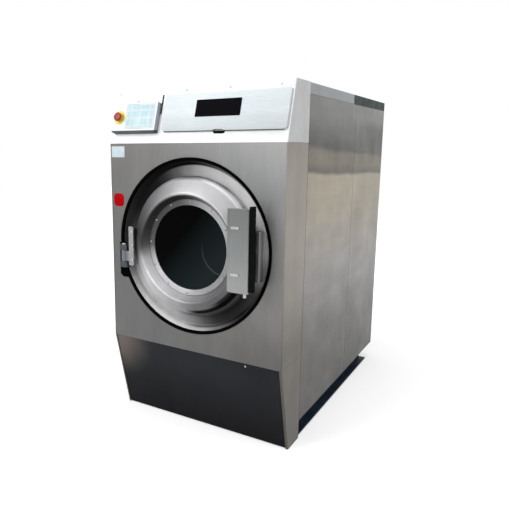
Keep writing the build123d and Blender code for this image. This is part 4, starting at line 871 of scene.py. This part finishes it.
# Painted shadow: a black strip for the shadow line at the lid's left edge.
tablet("pod_painted_shadow_strip", middle=(-0.1975, 0.197), size=(0.005, 0.098), corner=0.0015,
       levels=shadow_strip_levels, place=on_fascia, material=black_plastic, body="frame")


# Door: a cast ring, turned to a satin finish, with a seat, a dish and a cone. Their tones by
# direction are painted highlights and painted shade, in place of the room's light mirrored in
# them, with a painted shadow crescent low on the right and a painted highlight and dark lines on
# the rim. A turned ring and twelve bolts hold the glass in its seat.
seat_painted_light = (
    (0, 0.30), (50, 0.42), (75, 0.26), (105, 0.06), (180, 0.05), (195, 0.40), (215, 0.60), (270, 0.54),
    (300, 0.22),
)
dish_painted_light = (
    (0, 0.20), (58, 0.33), (76, 0.10), (95, 0.015), (150, 0.03), (182, 0.05), (195, 0.35), (222, 0.70),
    (245, 0.68), (275, 0.36), (305, 0.16),
)
cone_painted_light = (
    (0, 0.25), (50, 0.52), (95, 0.53), (135, 0.13), (165, 0.05), (185, 0.03), (197, 0.42), (220, 0.78),
    (260, 0.40), (300, 0.05),
)
seat_edge, dish_edge, cone_edge, rim_bead = 0.241, 0.262, 0.3335, 0.3475
door_painted_light_bands = ((seat_edge, seat_painted_light), (dish_edge, dish_painted_light), (beyond, cone_painted_light))
# Painted shadow as a crescent low on the right, and a painted highlight and dark lines on the rim.
rim_painted_light = (
    (0.312, cone_edge, 300, 25, 0.03), (0.298, cone_edge, 318, 14, 0.15),
    (cone_edge, beyond, 56, 16, 1.6), (cone_edge, beyond, 92, 6, 0.5), (cone_edge, beyond, 300, 34, 0.35),
    (rim_bead, beyond, 80, 24, 0.2),
)
door_metal_painted_light = spun("satin_door_casting_painted_light", door_painted_light_bands, rim_painted_light, gloss=0.02, rough=0.44, tint=(1, 1, 1.03, 1))
wear(["door_ring", "glass_retainer"], door_metal_painted_light)


# Hinge, handle and lock: a cast fork on the tub's front, in the casing's notch, takes the door's
# steel strap on a pin. The handle is a pressed plate with a moulded grip along its free edge, on
# a pin at the door's right. Behind it the lock's steel case stands on the tub's dished front.
wear(["hinge_block"], cast("hinge_casting", (0.040, 0.046, 0.056), rough=0.4, metal=0.2, grit=500.0))


def strap_painted_shade(tree, point):
    """Painted shade: the strap is darker at its knuckle, in the hinge block, than on the door."""
    share = spread(tree, along(tree, "X", point), 0.0, 1.0, -0.385, -0.365)
    return blend_colours(tree, share, (0.155, 0.17, 0.19, 1), (0.29, 0.29, 0.30, 1))


wear(["hinge_strap"], brushed("strap_steel_painted_shade", strap_painted_shade, along_x))
# Painted light: the handle plate is lighter towards its foot than at its top.
handle_painted_light = ((0, 0, 1), 0.85, 1.2, 1.75, 0.98)
handle_sheet_painted_light = brushed(
    "handle_sheet_painted_light", (0.165, 0.172, 0.168), along_z, rough=0.36, fades=(handle_painted_light,),
)
wear(["handle_plate"], handle_sheet_painted_light)
wear(["handle_grip"], black_plastic)


def lock_case_painted_light(tree, point):
    """The case has a painted shadow beside the grip and painted light on its paler outer side."""
    across = along(tree, "X", point)
    # Painted shadow beside the grip, and painted light on the outer side.
    grip_painted_shadow = spread(tree, across, 0.0, 1.0, 0.360, 0.368)
    outer_side_painted_light = spread(tree, across, 0.0, 1.0, 0.3764, 0.3769)
    front = blend_colours(tree, grip_painted_shadow, (0.012, 0.011, 0.010, 1), (0.15, 0.155, 0.145, 1))
    return blend_colours(tree, outer_side_painted_light, front, (0.42, 0.425, 0.41, 1))


lock_case = brushed("lock_case_steel_painted_light", lock_case_painted_light, along_z, rough=0.4, metal=0.2, gloss=0.1)
wear(["lock_housing"], lock_case)
zinc = ground("zinc_plate", (0.42, 0.42, 0.41), rough=0.32, metal=0.7)
wear(["handle_bolts"], zinc)


# Screws and bolts: zinc-plated steel button heads with a hexagon socket, round the door's glass
# and along the cabinet's seams. One stands in each place where the CAD has a plain head.
def heads_of(name):
    """The middle, axis, radius and height of each head of a node of separate round heads.

    Points nearer than the head's reach to its first point belong to it. Its axis is the way in
    which its points spread least, turned out of the machine's front or rear, or else upwards."""
    head_reach, upwards = 0.024, 0.1
    mesh = nodes[name].data
    points = np.empty(len(mesh.vertices) * 3)
    mesh.vertices.foreach_get("co", points)
    points = points.reshape(-1, 3)
    found = []
    while len(points):
        near = np.linalg.norm(points - points[0], axis=1) < head_reach
        group, points = points[near], points[~near]
        middle = (group.max(axis=0) + group.min(axis=0)) / 2
        _, _, ways = np.linalg.svd(group - group.mean(axis=0), full_matrices=False)
        axis = ways[2] * np.sign(np.dot(ways[2], (0, middle[1], upwards)))
        height = np.ptp(group @ axis)
        radius = np.ptp(group @ ways[0]) / 2
        found.append((middle, axis, radius, height))
    return found


def socket_heads(node_name, body, material):
    """Button heads in one mesh. A round section falls from the crown to the rim, and the socket's
    radius is a hexagon's: the flat's distance over the cosine of the angle from its middle."""
    count = 24
    turn = np.arange(count) / count * math.tau
    hexagon = 1 / np.cos((turn + math.pi / 6) % (math.pi / 3) - math.pi / 6)
    section = ((1.0, 0.0), (1.0, 0.35), (0.93, 0.68), (0.78, 0.90), (0.58, 1.0))
    socket_mouth, socket_floor, floor_level = 0.42, 0.40, 0.35
    points, faces = [], []
    for middle, axis, radius, height in heads_of(node_name):
        side = np.cross(axis, (0.0, 0.0, 1.0))
        side /= np.linalg.norm(side)
        upward = np.cross(axis, side)
        rings = [(radius * share * np.ones(count), level * height) for share, level in section]
        rings.append((socket_mouth * radius * hexagon, height))
        rings.append((socket_floor * radius * hexagon, floor_level * height))
        first = len(points) * count
        for ring, level in rings:
            spot = middle + axis * (level - height / 2)
            points.append(spot + np.outer(ring * np.cos(turn), side) + np.outer(ring * np.sin(turn), upward))
        faces += [tuple(first + i for i in reversed(face)) for face in ringed(len(rings), count)]
    piece = add_piece(node_name + "_detailed", np.concatenate(points), faces, material, body)
    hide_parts(node_name)


socket_heads("door_bolts", "door", zinc)
socket_heads("panel_screws", "frame", zinc)


# Door glass: a thick round pane of toughened glass, clamped in the door's seat by its retaining
# ring. It is painted nearly black as shade for the dark drum behind it, with painted light low on
# the right and a faint painted arc for the drum's far rim.
def smoked_glass_painted_light():
    """Near black glass, painted shade for the dark drum behind, with a little grey-green painted
    light low on the right, and a faint painted arc for the drum's far rim.
    """
    made, tree, shader = new_material("smoked_glass_painted_light", 0.02)
    point = object_point(tree)
    smear = noise(tree, point, 5.0, 6.0)
    # Painted light low on the right, and a faint painted arc for the drum's far rim.
    lower_right = vector_maths(tree, "DOT_PRODUCT", drum_point(tree), (0.75, 0, -0.66))
    light = spread(tree, lower_right, 0.0, 1.0, -0.07, 0.15)
    tint = blend_colours(tree, light, (0.0005, 0.0005, 0.0005, 1), (0.012, 0.019, 0.021, 1))
    arc_x, arc_height, arc_radius = 0.195, 0.985, 0.124
    reach = vector_maths(tree, "LENGTH", object_point(tree, (1, 0, 1), (-arc_x, 0, -arc_height)))
    beside_arc = maths(tree, "ABSOLUTE", maths(tree, "SUBTRACT", reach, arc_radius))
    low = spread(tree, along(tree, "Z", point), 0.4, 0.0, 0.90, 1.02)
    arc = maths(tree, "MULTIPLY", spread(tree, beside_arc, 1.0, 0.0, 0.001, 0.006), low)
    tint = blend_colours(tree, arc, tint, (0.10, 0.12, 0.12, 1))
    tree.links.new(tint, shader.inputs["Base Color"])
    tree.links.new(spread(tree, smear, 0.06, 0.16), shader.inputs["Roughness"])
    return made


wear(["door_glass"], smoked_glass_painted_light())
